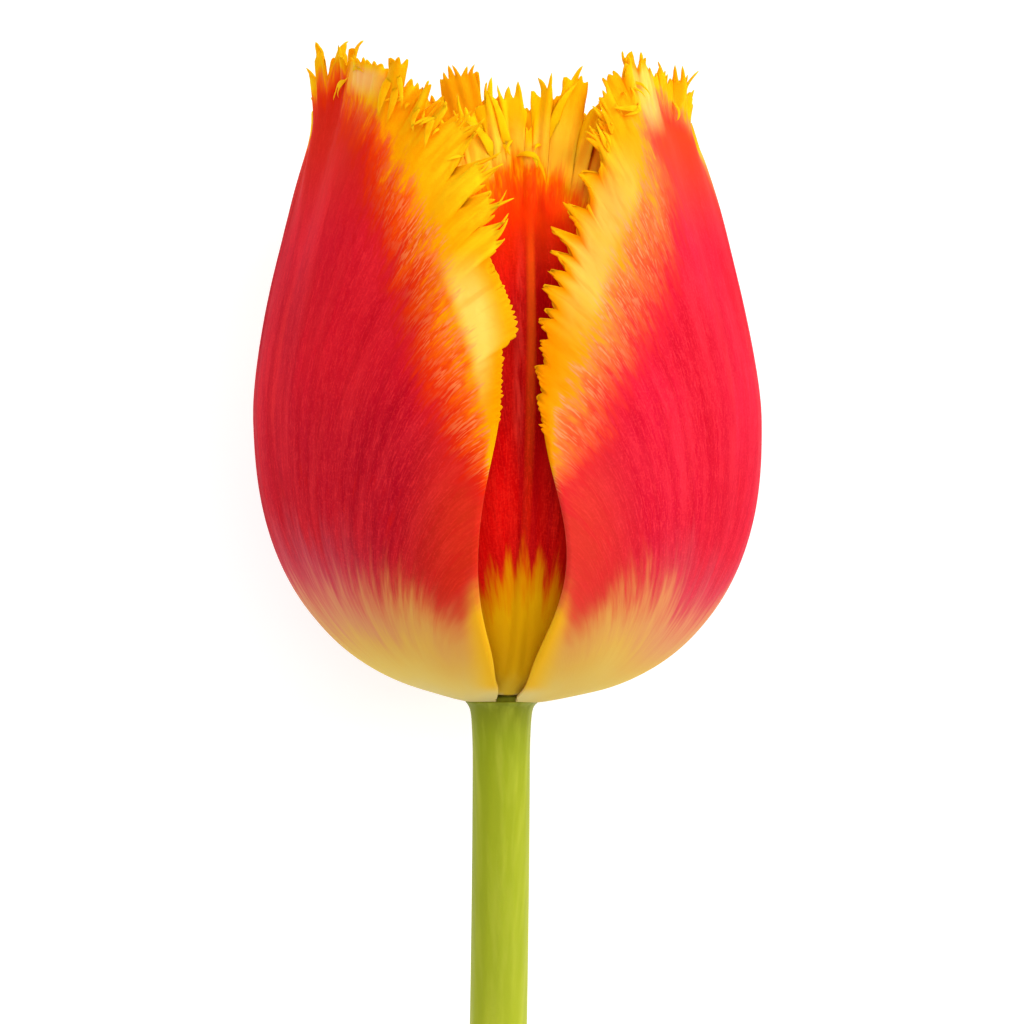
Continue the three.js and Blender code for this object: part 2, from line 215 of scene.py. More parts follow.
outerLook = {
    # body, from the ribbons' dark parts to the long veins
    "main": "#dc1a30", "dark": "#c00e24", "bright": "#ec3038", "vessel": "#9c0618",
    "deep": "#a6081e", "deepShare": 0.85,  # the lower half is deeper
    "flank": -1.0, "flankShadeShare": 0.0,  # painted shade in the deep colour on the side that turns away, -1 for the left one
    # painted light: a bright red that lifts the shade right of the midrib
    "paintedLightRed": "#ff0e04", "rimTint": "#e2380c", "rimShare": 0.6,
    # margin: a ramp from the margin (0) over the end of the yellow (1/3) to the red, and what lies on it
    "edge": [(0.0, "#f99600"), (0.12, "#f99e00"), (0.27, "#f9a000"), (0.36, "#f48a08"), (0.46, "#ee5a08"),
             (0.58, "#e63808"), (0.72, "#dc2410"), (1.0, "#d00e26")],
    # lemon is partly random and partly a painted highlight on the lobes' crests; deepEdge is partly threads
    # and partly painted shade between the lobes
    "lemon": "#fecc14", "deepEdge": "#ee8400", "glint": "#f8a058", "glintShare": 0.7,
    "edgeHighlight": "#fdda68", "paleAt": 53, "paleFor": 10, "pale": 0.9,  # painted highlight along the curled margin, mm from the base
    "roll": "#fab870", "rollAt": 0.062, "rollIn": (2.6, 1.0), "rollHighlightShare": 0.0,  # painted highlight on the turned-over tip
    # base: a ramp from the claw up to baseTo mm, which fades over its last baseFade mm
    "base": [(0.0, "#bcae68"), (0.1, "#d4bc78"), (0.22, "#e0c474"), (0.34, "#e2be60"), (0.5, "#e0b04c"),
             (0.62, "#dc9e4c"), (0.71, "#d87c42"), (0.81, "#d04c34"), (1.0, "#ca1a28")],
    "baseTo": 30, "baseFade": 7, "gold": "#f0b000", "goldShare": 0.85, "mauve": "#d06878", "mauveShare": 0.38,
    "droop": 4.2, "midDroop": 0.0, "flame": 0.0,  # mm that it ends lower by the rim, in the middle, beside it
    # midrib, the painted shade in its groove and the painted highlight beside it, the red over the top, and
    # the inner face
    "rib": "#b81428", "ribShare": 0.15, "ribLightShadeShare": 0.1, "paintedSheen": "#ff4838",
    "upper": "#dc2c06", "upperShare": 0.65, "upperFrom": 62, "insideTint": "#faa608",
    "rough": 0.55,
}
leftLook = {**outerLook, "rollHighlightShare": 0.75, "flankShadeShare": 0.8}
rightLook = {
    **outerLook, "main": "#de1c3c", "dark": "#c81028", "bright": "#ec3444", "vessel": "#b0041c",
    "deep": "#be0826", "flank": 1.0, "flankShadeShare": 0.9, "rimTint": "#e6442c",
    "edge": [(0.0, "#f28a00"), (0.12, "#f49200"), (0.27, "#f49a10"), (0.36, "#f08a2c"), (0.46, "#ec6a30"),
             (0.58, "#e84c2c"), (0.72, "#e02c2c"), (1.0, "#d81032")],
    "lemon": "#f9b40c", "deepEdge": "#e27600", "glint": "#f8a868",
    "edgeHighlight": "#f8c864", "paleAt": 63, "paleFor": 13, "pale": 0.7,
    "roll": "#fcd068", "rollAt": -0.045, "rollIn": (7, 3), "rollHighlightShare": 0.55,
    "mauveShare": 0.3, "midDroop": 4.0, "upper": "#ee4010", "upperShare": 0.8,
}
innerLook = {
    **outerLook, "main": "#da0606", "dark": "#ae0004", "bright": "#f02418", "deepShare": 0.0, "rimShare": 0.0,
    "edge": [(0.0, "#fcac02"), (0.12, "#fcaa02"), (0.27, "#f89c00"), (0.36, "#f47c00"), (0.46, "#f25602"),
             (0.6, "#ee3804"), (0.75, "#e41a04"), (1.0, "#d80606")],
    "lemon": "#fec60c", "deepEdge": "#ea7000", "glint": "#f47016",
    "edgeHighlight": "#fed048", "paleAt": 72, "paleFor": 12, "pale": 0.5,
    "base": [(0.0, "#dcc080"), (0.06, "#d8ae30"), (0.3, "#d69e08"), (0.62, "#dca004"), (0.72, "#d88400"),
             (0.8, "#d45402"), (0.88, "#cc1c02"), (1.0, "#c40808")],
    "baseFade": 4, "gold": "#dc9e00", "goldShare": 0.3, "mauveShare": 0.0, "droop": 0.0, "flame": 3.0,
    "rib": "#fc6410", "ribShare": 0.6, "ribLightShadeShare": 0.6, "upper": "#f44200", "upperShare": 0.75,
    "upperFrom": 57, "rough": 0.5,
}


def petalSkin(name, look):
    # Tulip petal skin: rows of long cells over watery flesh. They give it a silky surface along the veins,
    # light that shines through, and colour laid down in streaks that follow the veins.
    # Painted highlights and painted shade lie over the colour: on the lobes' crests, along the curled margin,
    # on the turned-over tip, beside the midrib and on the flank that turns away.
    material, tree = newMaterial(name)
    place = addNode(tree, "Attribute", attribute_name="veinPlace").outputs["Vector"]
    border = addNode(tree, "Attribute", attribute_name="edgePlace").outputs["Vector"]
    inside = addNode(tree, "Attribute", attribute_name="inside").outputs["Fac"]
    vein, arc, across = addNode(tree, "SeparateXYZ", {0: place}).outputs  # arc and across in mm
    band, distance, crestLighting = addNode(tree, "SeparateXYZ", {0: border}).outputs  # distance in mm; the third is painted light and shade by the lobes' crests
    objectPlace = addNode(tree, "TexCoord").outputs["Object"]

    def streaks(perVein, perMm, detail, shift):
        # noise drawn out along the veins: perVein cells over half a tepal (28 mm), perMm cells along each mm
        seed = look["seed"] + shift
        scaled = addNode(
            tree, "VectorMath", {0: place, 1: (perVein, perMm, 0), 2: (seed, seed * 1.7, seed)},
            operation="MULTIPLY_ADD",
        ).outputs[0]
        return addNode(
            tree, "TexNoise", {"Vector": scaled, "Scale": 1.0, "Detail": detail, "Roughness": 0.55}
        ).outputs["Fac"]

    def gather(operation, *terms):
        # The terms joined by one operation. A term is a number, a socket or a window, which goes smoothly
        # from one share to another while a value goes from one place to another: (value, from, to, share
        # at from, share at to), with 0 and 1 where no shares are given. (value, place) for the value stands
        # for its distance from that place.
        total = None
        for term in terms:
            if isinstance(term, tuple):
                value, start, end, *shares = term
                if isinstance(value, tuple):
                    value = gather("ABSOLUTE", gather("SUBTRACT", *value), 0.0)
                atStart, atEnd = shares or (0.0, 1.0)
                ends = {"From Min": start, "From Max": end, "To Min": atStart, "To Max": atEnd}
                term = addNode(
                    tree, "MapRange", {"Value": value, **ends}, interpolation_type="SMOOTHSTEP",
                ).outputs[0]
            if total is None:
                total = term
            else:
                total = addNode(tree, "Math", {0: total, 1: term}, operation=operation).outputs[0]
        return total

    def painted(under, *layers):
        # layers of paint, lowest first: a colour of the look or a socket, and the terms whose product is the
        # share of it that shows
        for over, *terms in layers:
            if 0 in terms:
                continue
            over = linear(look[over]) if isinstance(over, str) else over
            share = gather("MULTIPLY", *terms)
            under = addNode(tree, "Mix", {0: share, 6: under, 7: over}, data_type="RGBA").outputs[2]
        return under

    # Real cells are 0.03 mm wide, too fine to show, so the finest streaks are drawn 0.1 mm wide and the grain
    # of cells 0.24 mm. Threads are 0.4 mm wide, ribbons 1.5 mm, washes 6 mm and the long vessels 0.9 mm.
    hair = streaks(290, 0.7, 2.0, 0)
    thread = streaks(70, 0.22, 2.0, 3)
    ribbon = streaks(19, 0.07, 2.0, 7)
    wash = streaks(4.5, 0.035, 2.0, 11)
    vessels = streaks(30, 0.02, 3.0, 17)
    grain = addNode(tree, "TexNoise", {"Vector": objectPlace, "Scale": 4200.0, "Detail": 2.0}).outputs["Fac"]

    # body: broad darker and brighter ribbons with the grain over them, and painted shade on the flank that
    # turns away, where the long veins show more
    flank = gather("MULTIPLY", (gather("MULTIPLY", across, look["flank"]), 5, 13))
    body = painted(
        linear(look["dark"]),
        ("main", (wash, 0.36, 0.66)),
        ("deep", (arc, 52, 26), look["deepShare"]),
        ("bright", (ribbon, 0.42, 0.74, 0.0, 0.4)),
        ("dark", (thread, 0.52, 0.3, 0.0, 0.4)),
        ("bright", (hair, 0.46, 0.7, 0.0, 0.5)),
        ("bright", (grain, 0.5, 0.7, 0.0, 0.34)),
        ("dark", (grain, 0.5, 0.3, 0.0, 0.3)),
        ("deep", flank, look["flankShadeShare"]),
        ("vessel", (vessels, 0.5, 0.6), (flank, 0, 1, 0.2, 0.85)),
        ("bright", (vessels, 0.48, 0.38), (flank, 0, 1, 0.15, 0.6)),
        # painted light: brighter red right of the midrib that lifts the shade there
        ("paintedLightRed", (across, 2.4, 5), (arc, 40, 52), look["ribLightShadeShare"]),
        ("rimTint", (distance, 10, 1), (arc, 54, 44), look["rimShare"]),
    )

    # margin: yellow fringe, orange, then the body where band is 3, with the border drawn out into streaks
    fray = gather(
        "ADD",
        (hair, 0.28, 0.72, -0.24, 0.24), (thread, 0.3, 0.7, -0.24, 0.24), (ribbon, 0.3, 0.7, -0.16, 0.16),
    )
    frayed = gather("ADD", band, gather("MULTIPLY", fray, (band, 0.35, 1.0)))
    # painted light and shade by the lobes' crests: lemon as a painted highlight on the crests, over the
    # random wash, and deepEdge as painted shade in the notches
    crestHighlight = gather("MULTIPLY", gather("MAXIMUM", crestLighting, 0.0), (thread, 0.38, 0.6, 0.5, 0.9))
    lit = gather("ADD", (wash, 0.4, 0.6, 0.0, 0.5), crestHighlight)
    edge = painted(
        addNode(tree, "ValToRGB", {0: gather("DIVIDE", frayed, 3.0)}, stops=look["edge"]).outputs[0],
        ("lemon", lit, (band, 1.15, 0.75), 0.85),
        # painted highlight in a band along the curled margin
        ("edgeHighlight", ((arc, look["paleAt"]), look["paleFor"], 2), (wash, 0.36, 0.54, 0.6, 1.0),
         (ribbon, 0.34, 0.56, 0.65, 1.0), ((distance, 3.0), 3.6, 0.8, 0.25, 1.0), (distance, 0.3, 2.4),
         (band, 1.15, 0.8), look["pale"]),
        ("deepEdge", (thread, 0.48, 0.34), (band, 1.2, 0.7), 0.22),
        # painted shade between the lobes
        ("deepEdge", (crestLighting, -0.02, -0.4), (band, 1.2, 0.7), 0.8),
        ("glint", (hair, 0.46, 0.64), (thread, 0.36, 0.6, 0.3, 1.0), (frayed, 0.8, 1.25), (frayed, 2.8, 1.5),
         (arc, 74, 64, 0.3, 1.0), look["glintShare"]),
    )

    # midrib, with painted shade in the groove to its right and a painted highlight to its left
    blade = painted(
        body,
        (edge, (frayed, 3.0, 2.0)),
        ("rib", ((across, 0.0), 0.7, 0.1), (arc, 34, 58, 0.1, 1.0), (arc, 70, 62), look["ribShare"]),
        # painted shade in the groove
        ("dark", ((across, 1.3), 1.1, 0.2), (arc, 24, 40), (band, 1.2, 2.2), look["ribLightShadeShare"]),
        # painted highlight left of the midrib
        ("paintedSheen", ((across, -1.5), 1.0, 0.2), (thread, 0.3, 0.6), (arc, 36, 46), (arc, 68, 58),
         look["ribLightShadeShare"], 0.7),
    )

    # base: cream or gold at the claw, frayed upwards into the body; low is the arc moved by how the base ends
    lift = gather(
        "ADD", (thread, 0.3, 0.7, -0.8, 0.8), (ribbon, 0.3, 0.7, -1.7, 1.7), (hair, 0.28, 0.72, -0.35, 0.35),
    )
    ripple = gather("COSINE", gather("MULTIPLY", across, 3.1), 0.0)
    low = gather(
        "ADD", arc,
        gather("MULTIPLY", lift, (arc, 10, 22), (distance, 1, 8, 0.4, 1.0)),
        gather("MULTIPLY", (distance, 7, 2.8, 0.0, look["droop"]), (distance, 0.4, 2.2, 0.3, 1.0)),
        ((across, 0.0), 1, 6, 0.0, look["flame"]),
        ((across, 0.0), 10, 2, 0.0, look["midDroop"]),
        (ripple, 1, -1, 0.0, look["flame"] * 0.5),
    )
    base = painted(
        addNode(tree, "ValToRGB", {0: gather("DIVIDE", low, 34.0)}, stops=look["base"]).outputs[0],
        ("gold", (distance, 2.6, 0.3), (low, 29, 22), (arc, 4, 9), look["goldShare"]),
    )
    colour = painted(
        base,
        (blade, (low, look["baseTo"] - look["baseFade"], look["baseTo"])),
        ("mauve", ((across, 0.0), 17, 4), (low, 13, 22), (low, 35, 25), look["mauveShare"]),
        ("insideTint", inside, (arc, 44, 62, 0.05, 0.8)),
        ("upper", (arc, look["upperFrom"], look["upperFrom"] + 16), (band, 1.5, 2.4), look["upperShare"]),
        # painted highlight where the tip turns over
        ("roll", ((vein, look["rollAt"]), 0.045, 0.01), (distance, *look["rollIn"]), (distance, 0.1, 0.7),
         (arc, 60, 66), (ribbon, 0.3, 0.55, 0.6, 1.0), look["rollHighlightShare"]),
    )

    # relief of the cells, and the fringe's crumples over it
    cells = gather("ADD", *(gather("MULTIPLY", noise, share) for noise, share in (
        (hair, 0.6), (thread, 0.4), (grain, 0.35),
    )))
    bump = addNode(tree, "Bump", {"Strength": 0.3, "Distance": 0.0001, "Height": cells}).outputs[0]
    crumple = addNode(tree, "TexNoise", {"Vector": objectPlace, "Scale": 800.0, "Detail": 1.5}).outputs["Fac"]
    crumple = gather("MULTIPLY", crumple, (band, 1.1, 0.4))
    bump = addNode(
        tree, "Bump", {"Strength": 0.5, "Distance": 0.0003, "Height": crumple, "Normal": bump},
    ).outputs[0]
    rough = gather("MULTIPLY", (ribbon, 0.3, 0.7, look["rough"] - 0.05, look["rough"] + 0.07))
    shader = addNode(tree, "BsdfPrincipled", {
        "Base Color": colour, "Roughness": rough, "Normal": bump, "IOR": 1.38, "Specular IOR Level": 0.01,
        "Subsurface Weight": 0.5, "Subsurface Radius": (0.6, 0.6, 0.4), "Subsurface Scale": 0.001,
    }).outputs[0]
    addNode(tree, "OutputMaterial", {"Surface": shader})
    return material


petal = {
    "baseThickness": 1.0,
    "bladeThickness": 0.62,
    "marginThickness": 0.32,
    "spikeThickness": 0.2,
    "curlThickness": 0.22,
    "innerSeat": 1.35,  # how far the inner tepals stand inside the bowl at the claw
    "innerInset": 3.0,  # and higher up
    "insetBetween": (2, 32),
    "creaseBetween": (8, 30),
    "pleatBetween": (8, 26),
    "edgeFrom": 0.55,  # share of a vein from which its edge waves
    "clawAngle": 50,  # degrees from the middle to the edge at the claw
    "creaseWidth": 3,
    "tipPinch": 2.2,  # how much deeper the crease gets at the tip
    "tipPinchFrom": 60,
    "tipPinchTo": 80,
    "veinTurn": 2,  # powers of t by which the veins spread, and the share of the second
    "marginTurn": 9,
    "marginTurnShare": 0.3,
    "pleats": [(0.03, 0.95, 1), (0.02, 1.7, 2)],  # mm deep, turn per mm across, times the tepal's phase
    "ribHalf": 0.42,
    "furrow": (0.9, 1.0, 0.5),  # depth beside the rib's height, mm from the rib, half width
    "firstVein": 0.035,
    "fringeFrom": 0.47,  # share of the margin from which it has teeth
    "slots": 320,  # places for a tooth along the whole margin
    "slotsPerColumn": 2,  # slots to a column of the blade
    "finePerSlot": 4,  # columns of the strip to a slot
    "rows": 56,
    "stripRows": 8,
    "frillPitch": 8.5,
    "spikeRows": 5,
    "curlRows": 9,
    "curlSides": 8,
}
outlines = {  # [half width, distance from the base], base to tip, laid flat
    "broad": [[3.0, 0], [11.1, 8.2], [18.8, 17], [25.2, 28.9], [29.8, 41], [30.4, 47.5], [28.8, 56],
              [25.6, 63.5], [21.2, 71.8], [17.6, 76], [13.4, 79.2], [7.6, 81.6], [0, 82.8]],
    "narrow": [[3.0, 0], [11.6, 8.2], [18.4, 17], [23.0, 28.9], [27.4, 40], [27.9, 47], [25.6, 54.5],
               [21.4, 62.4], [16.0, 71.2], [13.6, 75.6], [11.4, 79.2], [7.0, 81.6], [0, 82.8]],
    "back": [[3.0, 0], [10.2, 8.2], [16.8, 17], [22.0, 28.9], [25.4, 41], [25.8, 47], [24.6, 55],
             [22.2, 62.4], [17.8, 71.2], [14.6, 75.6], [11.0, 79], [6.2, 81.2], [0, 82.4]],
    "inner": [[2.6, 0], [8.8, 8.2], [14.0, 17], [18.6, 28.9], [21.6, 41], [22.2, 47], [21.4, 54],
              [18.8, 61], [15.2, 67.4], [12.6, 70.8], [9.4, 73.6], [5.2, 75.6], [0, 76.6]],
}
outer = {
    "inner": False, "left": "back", "right": "back", "look": outerLook, "slot": "outer_tepal",
    "sink": 0.3,  # how much lower it stands at the claw
    "crease": 0.35, "ruffle": 0.7, "waves": 7, "lean": 0.0, "frill": 0.3, "fold": 0.3, "flare": 0.0,
    "curl": 0.1, "pleat": 1.0, "rib": 0.0, "ribSlope": 0.0, "ribShift": 0.0,
    "bandLeft": 0.6, "bandRight": 0.6,  # width of the yellow and orange margin on each side
    "tipBand": 0.0,  # mm that it is wider at the tip
    "stripWidth": 4.6,  # mm of each vein's end that is shaped into lobes
    # drawn lobes: slots in each, reach past the outline, tooth length, tilt outwards, where its end lies
    "lobeSlots": (4, 6), "lobeReach": (0.9, 1.7), "lobeTooth": (0.7, 1.2), "lobeTilt": 0.9,
    "lobeEnd": (-0.3, 0.7), "lobeRise": 0.7, "grown": (0.58, 0.7),
    # how deep the notches between lobes are at the sides and at the tip, and where the sides' grow
    "notch": 1.5, "tipNotch": 0.6, "notchFrom": (0.6, 0.82),
    "narrowing": 0.22, "crownFan": 0.0,  # how lobes close in on their ends, and the share of it at the tip
    # listed lobes, all mm: from and to along the margin from the tip (minus on the left), reach past the
    # outline, tooth length, tilt outwards, and between which places its end lies (-1 base side, 1 tip side)
    "lobes": [],
    # teeth bent back over the blade: three places (along the margin, in from it, out from the blade) and the
    # half width
    "curls": [], "looseCurls": 12, "looseFrom": (-16, 16),
}
inner = {
    **outer, "inner": True, "left": "inner", "right": "inner", "look": innerLook, "slot": "inner_tepal",
    "sink": 0.75, "ruffle": 0.5, "lean": -0.6, "fold": 0.45, "curl": -0.1, "pleat": 2.6, "rib": 0.16,
    "tipBand": 0.4, "stripWidth": 8.0, "lobeReach": (3.6, 5.4), "lobeTooth": (0.8, 1.4), "lobeTilt": 0.8,
    "lobeEnd": (-0.5, 0.6), "grown": (0.55, 0.85), "notch": -2.4, "tipNotch": -2.4, "narrowing": 0.25,
    "crownFan": 0.4,
}
tepals = {
    "outer_tepal_left": {
        **outer, "centre": -64, "phase": 0.4, "seed": 11, "right": "broad", "look": leftLook,
        "bandLeft": 0.35, "bandRight": 0.92, "flare": 0.9, "notch": 1.6, "tipNotch": -0.8, "lobes": [
            (-11.5, -7.6, 0.3, 1.0, 0.8, -0.2, 0.6), (-7.6, -5.6, 1.5, 1.2, 0.8, -0.2, 0.2),
            (-5.6, -3.4, 4.2, 1.1, 1.0, -0.1, 0.2), (-3.4, -1.0, 4.0, 1.1, -0.4, -0.2, 0.2),
            (-1.0, 0.6, 2.6, 1.0, 0.9, -0.2, 0.2), (0.6, 3.0, 3.3, 1.2, -0.5, -0.1, 0.2),
            (3.0, 9.8, 1.7, 0.6, 1.1, -0.8, 0.8), (9.8, 12.0, 3.1, 1.1, 1.6, -0.5, 0.5),
            (12.0, 13.8, 1.2, 1.0, -0.6, -0.5, 0.6), (13.8, 15.4, 1.8, 1.0, 0.9, -0.5, 0.6),
            (15.4, 16.8, 1.1, 1.0, -0.7, -0.5, 0.6), (16.8, 18.4, 1.3, 1.0, 0.5, -0.5, 0.6),
            (18.4, 23.5, 1.1, 2.0, 0.4, -0.4, 0.8), (23.5, 28.3, 1.0, 2.0, 0.3, -0.6, 0.85),
            (28.3, 32.3, 1.0, 2.0, 0.2, -0.6, 0.85), (32.3, 36.4, 0.8, 1.6, 0.2, -0.6, 0.85),
            (36.4, 47.2, 1.5, 0.3, 0.2, -0.75, -0.65),
        ],
        "looseCurls": 10, "looseFrom": (11, 24), "curls": [
            (1.4, 0.6, 0.0, 0.2, 1.2, 1.3, -1.4, 2.2, 0.9, 0.5),
            (2.2, 0.2, 0.0, 1.6, 1.6, 1.2, 0.6, 2.6, 0.6, 0.35),
            (10.4, -1.4, 0.4, 11.0, 1.0, 2.2, 11.2, 3.2, 1.0, 0.6),
            (11.2, -0.6, 0.4, 12.4, 1.2, 1.8, 12.4, 3.4, 0.8, 0.5),
            (10.8, -1.8, 0.6, 12.4, -0.4, 2.0, 13.4, 1.4, 1.2, 0.35),
            (3.6, -0.4, 0.2, 5.2, -1.2, 1.6, 7.4, -0.4, 1.2, 0.3),
            (14.6, 0.0, 0.0, 15.4, 1.4, 1.6, 16.6, 2.4, 1.0, 0.5),
            (17.0, 0.0, 0.0, 18.0, 1.2, 1.6, 18.8, 2.6, 1.0, 0.5),
        ],
    },
    "outer_tepal_right": {
        **outer, "centre": 65, "phase": 2.1, "seed": 23, "left": "narrow", "look": rightLook,
        "bandLeft": 0.95, "tipBand": 0.9, "notch": 1.2, "tipNotch": -0.9, "notchFrom": (0.5, 0.8),
        "lobeRise": 1.0, "lobes": [
            (-52.0, -48.6, 0.5, 0.1, 0.0, 0.8, 0.85), (-48.6, -45.9, 0.8, 0.3, 0.0, 0.8, 0.85),
            (-45.9, -43.0, 0.4, 0.4, 0.0, 0.6, 0.85), (-43.0, -40.3, 0.9, 0.6, 0.0, 0.6, 0.85),
            (-40.3, -39.3, 0.6, 0.3, 0.0, 0.6, 0.7), (-39.3, -36.3, 1.2, 0.7, 0.0, 0.5, 0.9),
            (-36.3, -34.5, 1.0, 0.5, 0.0, 0.5, 0.8), (-34.5, -31.8, 1.0, 0.7, 0.1, 0.5, 0.85),
            (-31.8, -29.3, 1.5, 0.8, 0.1, 0.5, 0.8), (-29.3, -25.6, 1.0, 0.9, 0.3, 0.4, 0.85),
            (-25.6, -24.4, -1.2, 0.1, 0.0, 0.0, 0.1), (-24.4, -20.6, 0.6, 0.8, 0.8, 0.4, 0.8),
            (-20.6, -19.4, -1.2, 0.1, 0.0, 0.0, 0.1), (-19.4, -16.8, 0.8, 1.6, 0.9, 0.0, 0.6),
            (-16.8, -13.2, -0.3, 1.3, 0.3, -0.2, 0.6), (-13.2, -11.4, 0.9, 0.9, 0.9, -0.6, 0.6),
            (-11.4, -9.0, 1.6, 1.0, -0.3, -0.7, 0.7), (-9.0, -7.2, 2.1, 1.0, 0.9, -0.6, 0.5),
            (-7.2, -5.4, 2.4, 1.0, -0.3, -0.6, 0.5), (-5.4, -3.8, 1.8, 0.9, 0.6, -0.5, 0.5),
            (-3.8, -2.0, 1.3, 0.8, -0.2, -0.5, 0.5), (-2.0, 1.2, 0.3, 0.7, -0.3, -0.5, 0.5),
            (1.2, 3.2, 1.1, 1.1, 0.4, -0.3, 0.4), (3.2, 5.0, 0.4, 1.1, -0.2, -0.4, 0.5),
            (5.0, 8.0, 0.7, 1.3, 0.9, -0.5, 0.6), (8.0, 12.0, 0.4, 1.2, 0.8, -0.4, 0.6),
        ],
        "looseCurls": 9, "looseFrom": (-18, -5), "curls": [
            (-8.6, 2.8, 0.2, -10.4, 2.6, 1.6, -12.6, 0.6, 1.0, 0.5),
            (-8.2, 2.2, 0.2, -9.8, 3.2, 1.4, -11.6, 2.2, 0.9, 0.4),
            (-14.4, 2.0, 0.2, -15.2, 1.2, 1.4, -14.0, -0.8, 0.8, 0.5),
            (-17.0, 1.8, 0.2, -17.6, 0.6, 1.2, -16.6, -1.0, 0.8, 0.45),
            (4.6, 1.4, 0.1, 4.6, 3.0, 1.4, 3.4, 4.0, 0.8, 0.4),
        ],
    },
    "outer_tepal_back": {
        **outer, "centre": 180, "phase": 1.0, "seed": 37, "crease": 0.15, "tipBand": 3.0, "lobes": [
            (-14.0, -9.0, 0.2, 0.5, 0.0, -0.4, 0.6), (-9.0, -4.4, -0.4, 0.5, 0.2, -0.5, 0.6),
            (-4.4, -1.4, -1.3, 0.3, 0.0, -0.5, 0.5), (-1.4, 2.4, -0.4, 0.5, -0.2, -0.5, 0.6),
            (2.4, 6.6, 2.8, 1.1, 0.0, -0.8, 0.8), (6.6, 11.0, 0.8, 0.8, 0.3, -0.5, 0.6),
        ],
    },
    "inner_tepal_front": {
        **inner, "centre": 6, "phase": 0.9, "seed": 41, "ribSlope": 0.051, "ribShift": -1.15,
        "bandLeft": 0.95, "bandRight": 0.95, "tipBand": 2.6, "tipNotch": -0.8, "crownFan": -0.1, "lobes": [
            (-14.0, -10.6, 3.6, 1.6, 0.3, -0.3, 0.2), (-10.6, -7.2, 3.8, 1.6, 1.0, -0.3, 0.2),
            (-7.2, -4.6, 3.6, 1.8, -0.3, -0.2, 0.1), (-4.6, -1.6, 5.6, 2.2, 0.6, -0.2, 0.1),
            (-1.6, 1.0, 4.4, 2.0, -0.4, -0.3, 0.3), (1.0, 1.7, 0.6, 0.4, 0.0, -0.2, 0.2),
            (1.7, 4.3, 5.4, 2.0, 0.4, -0.4, 0.3), (4.3, 7.6, 7.5, 1.8, 0.3, -0.4, 0.3),
            (7.6, 9.0, 5.4, 1.4, 0.9, -0.3, 0.3), (9.0, 11.6, 6.6, 1.6, 0.2, -0.5, 0.5),
            (11.6, 14.0, 5.6, 1.2, 0.6, -0.4, 0.4), (14.0, 18.0, 3.4, 1.0, 0.0, -0.4, 0.6),
        ],
        "looseCurls": 3, "looseFrom": (-10, 10), "curls": [
            (-0.4, 2.3, 0.3, 2.9, 1.4, 1.6, 3.7, 5.1, 0.6, 0.42),
            (1.6, 2.2, 0.6, 2.2, 3.0, 1.4, 2.6, 3.6, 0.8, 0.3),
            # three that stand up before the fringe, with their roots sunk in the blade
            (3.6, 2.4, -1.0, 4.6, -3.2, 1.3, 6.6, -6.6, 0.6, 0.7),
            (-2.4, 4.8, -1.0, -4.2, -0.4, 1.3, -6.8, -2.6, 0.6, 0.8),
            (-1.0, 3.4, -1.0, -1.8, -2.0, 1.2, -3.6, -5.0, 0.5, 0.6),
        ],
    },
    "inner_tepal_left": {
        **inner, "centre": -119, "phase": 2.8, "seed": 53, "tipBand": 4.0, "notch": -1.6, "tipNotch": -1.6,
    },
    "inner_tepal_right": {
        **inner, "centre": 122, "phase": 4.0, "seed": 67, "tipBand": 4.0, "notch": -1.6, "tipNotch": -1.6,
    },
}


def outlineCurve(points):
    # uniform Catmull-Rom through the points, with each place's share of its length
    p = np.array(points, float)
    p = np.vstack([p[:1], p, p[-1:]])
    t = np.linspace(0, 1, 40, endpoint=False)[:, None, None]
    p0, p1, p2, p3 = p[:-3], p[1:-2], p[2:-1], p[3:]
    v0, v1 = (p2 - p0) / 2, (p3 - p1) / 2
    curve = (2 * p1 - 2 * p2 + v0 + v1) * t ** 3 + (3 * p2 - 3 * p1 - 2 * v0 - v1) * t ** 2 + v0 * t + p1
    curve = np.vstack([curve.transpose(1, 0, 2).reshape(-1, 2), p[-1:]])
    length = np.concatenate([[0], np.cumsum(np.hypot(*np.diff(curve, axis=0).T))])
    return {"share": length / length[-1], "width": curve[:, 0], "arc": curve[:, 1], "length": length[-1]}


curves = {name: outlineCurve(points) for name, points in outlines.items()}


def marginAt(tepal, column):
    # where a column's vein meets the margin: share of the margin's length, half width and arc
    share = petal["firstVein"] + (1 - petal["firstVein"]) * (1 - np.abs(column))
    left, right = curves[tepal["left"]], curves[tepal["right"]]
    width = np.where(column < 0, np.interp(share, left["share"], left["width"]),
                     np.interp(share, right["share"], right["width"]))
    arc = np.where(column < 0, np.interp(share, left["share"], left["arc"]),
                   np.interp(share, right["share"], right["arc"]))
    return share, width, arc


def ribPlace(tepal, arc):
    # how far the rib lies to the right of the middle: it leans to the right from the base to the tip
    return tepal["ribShift"] + tepal["ribSlope"] * np.maximum(arc - 25, 0)


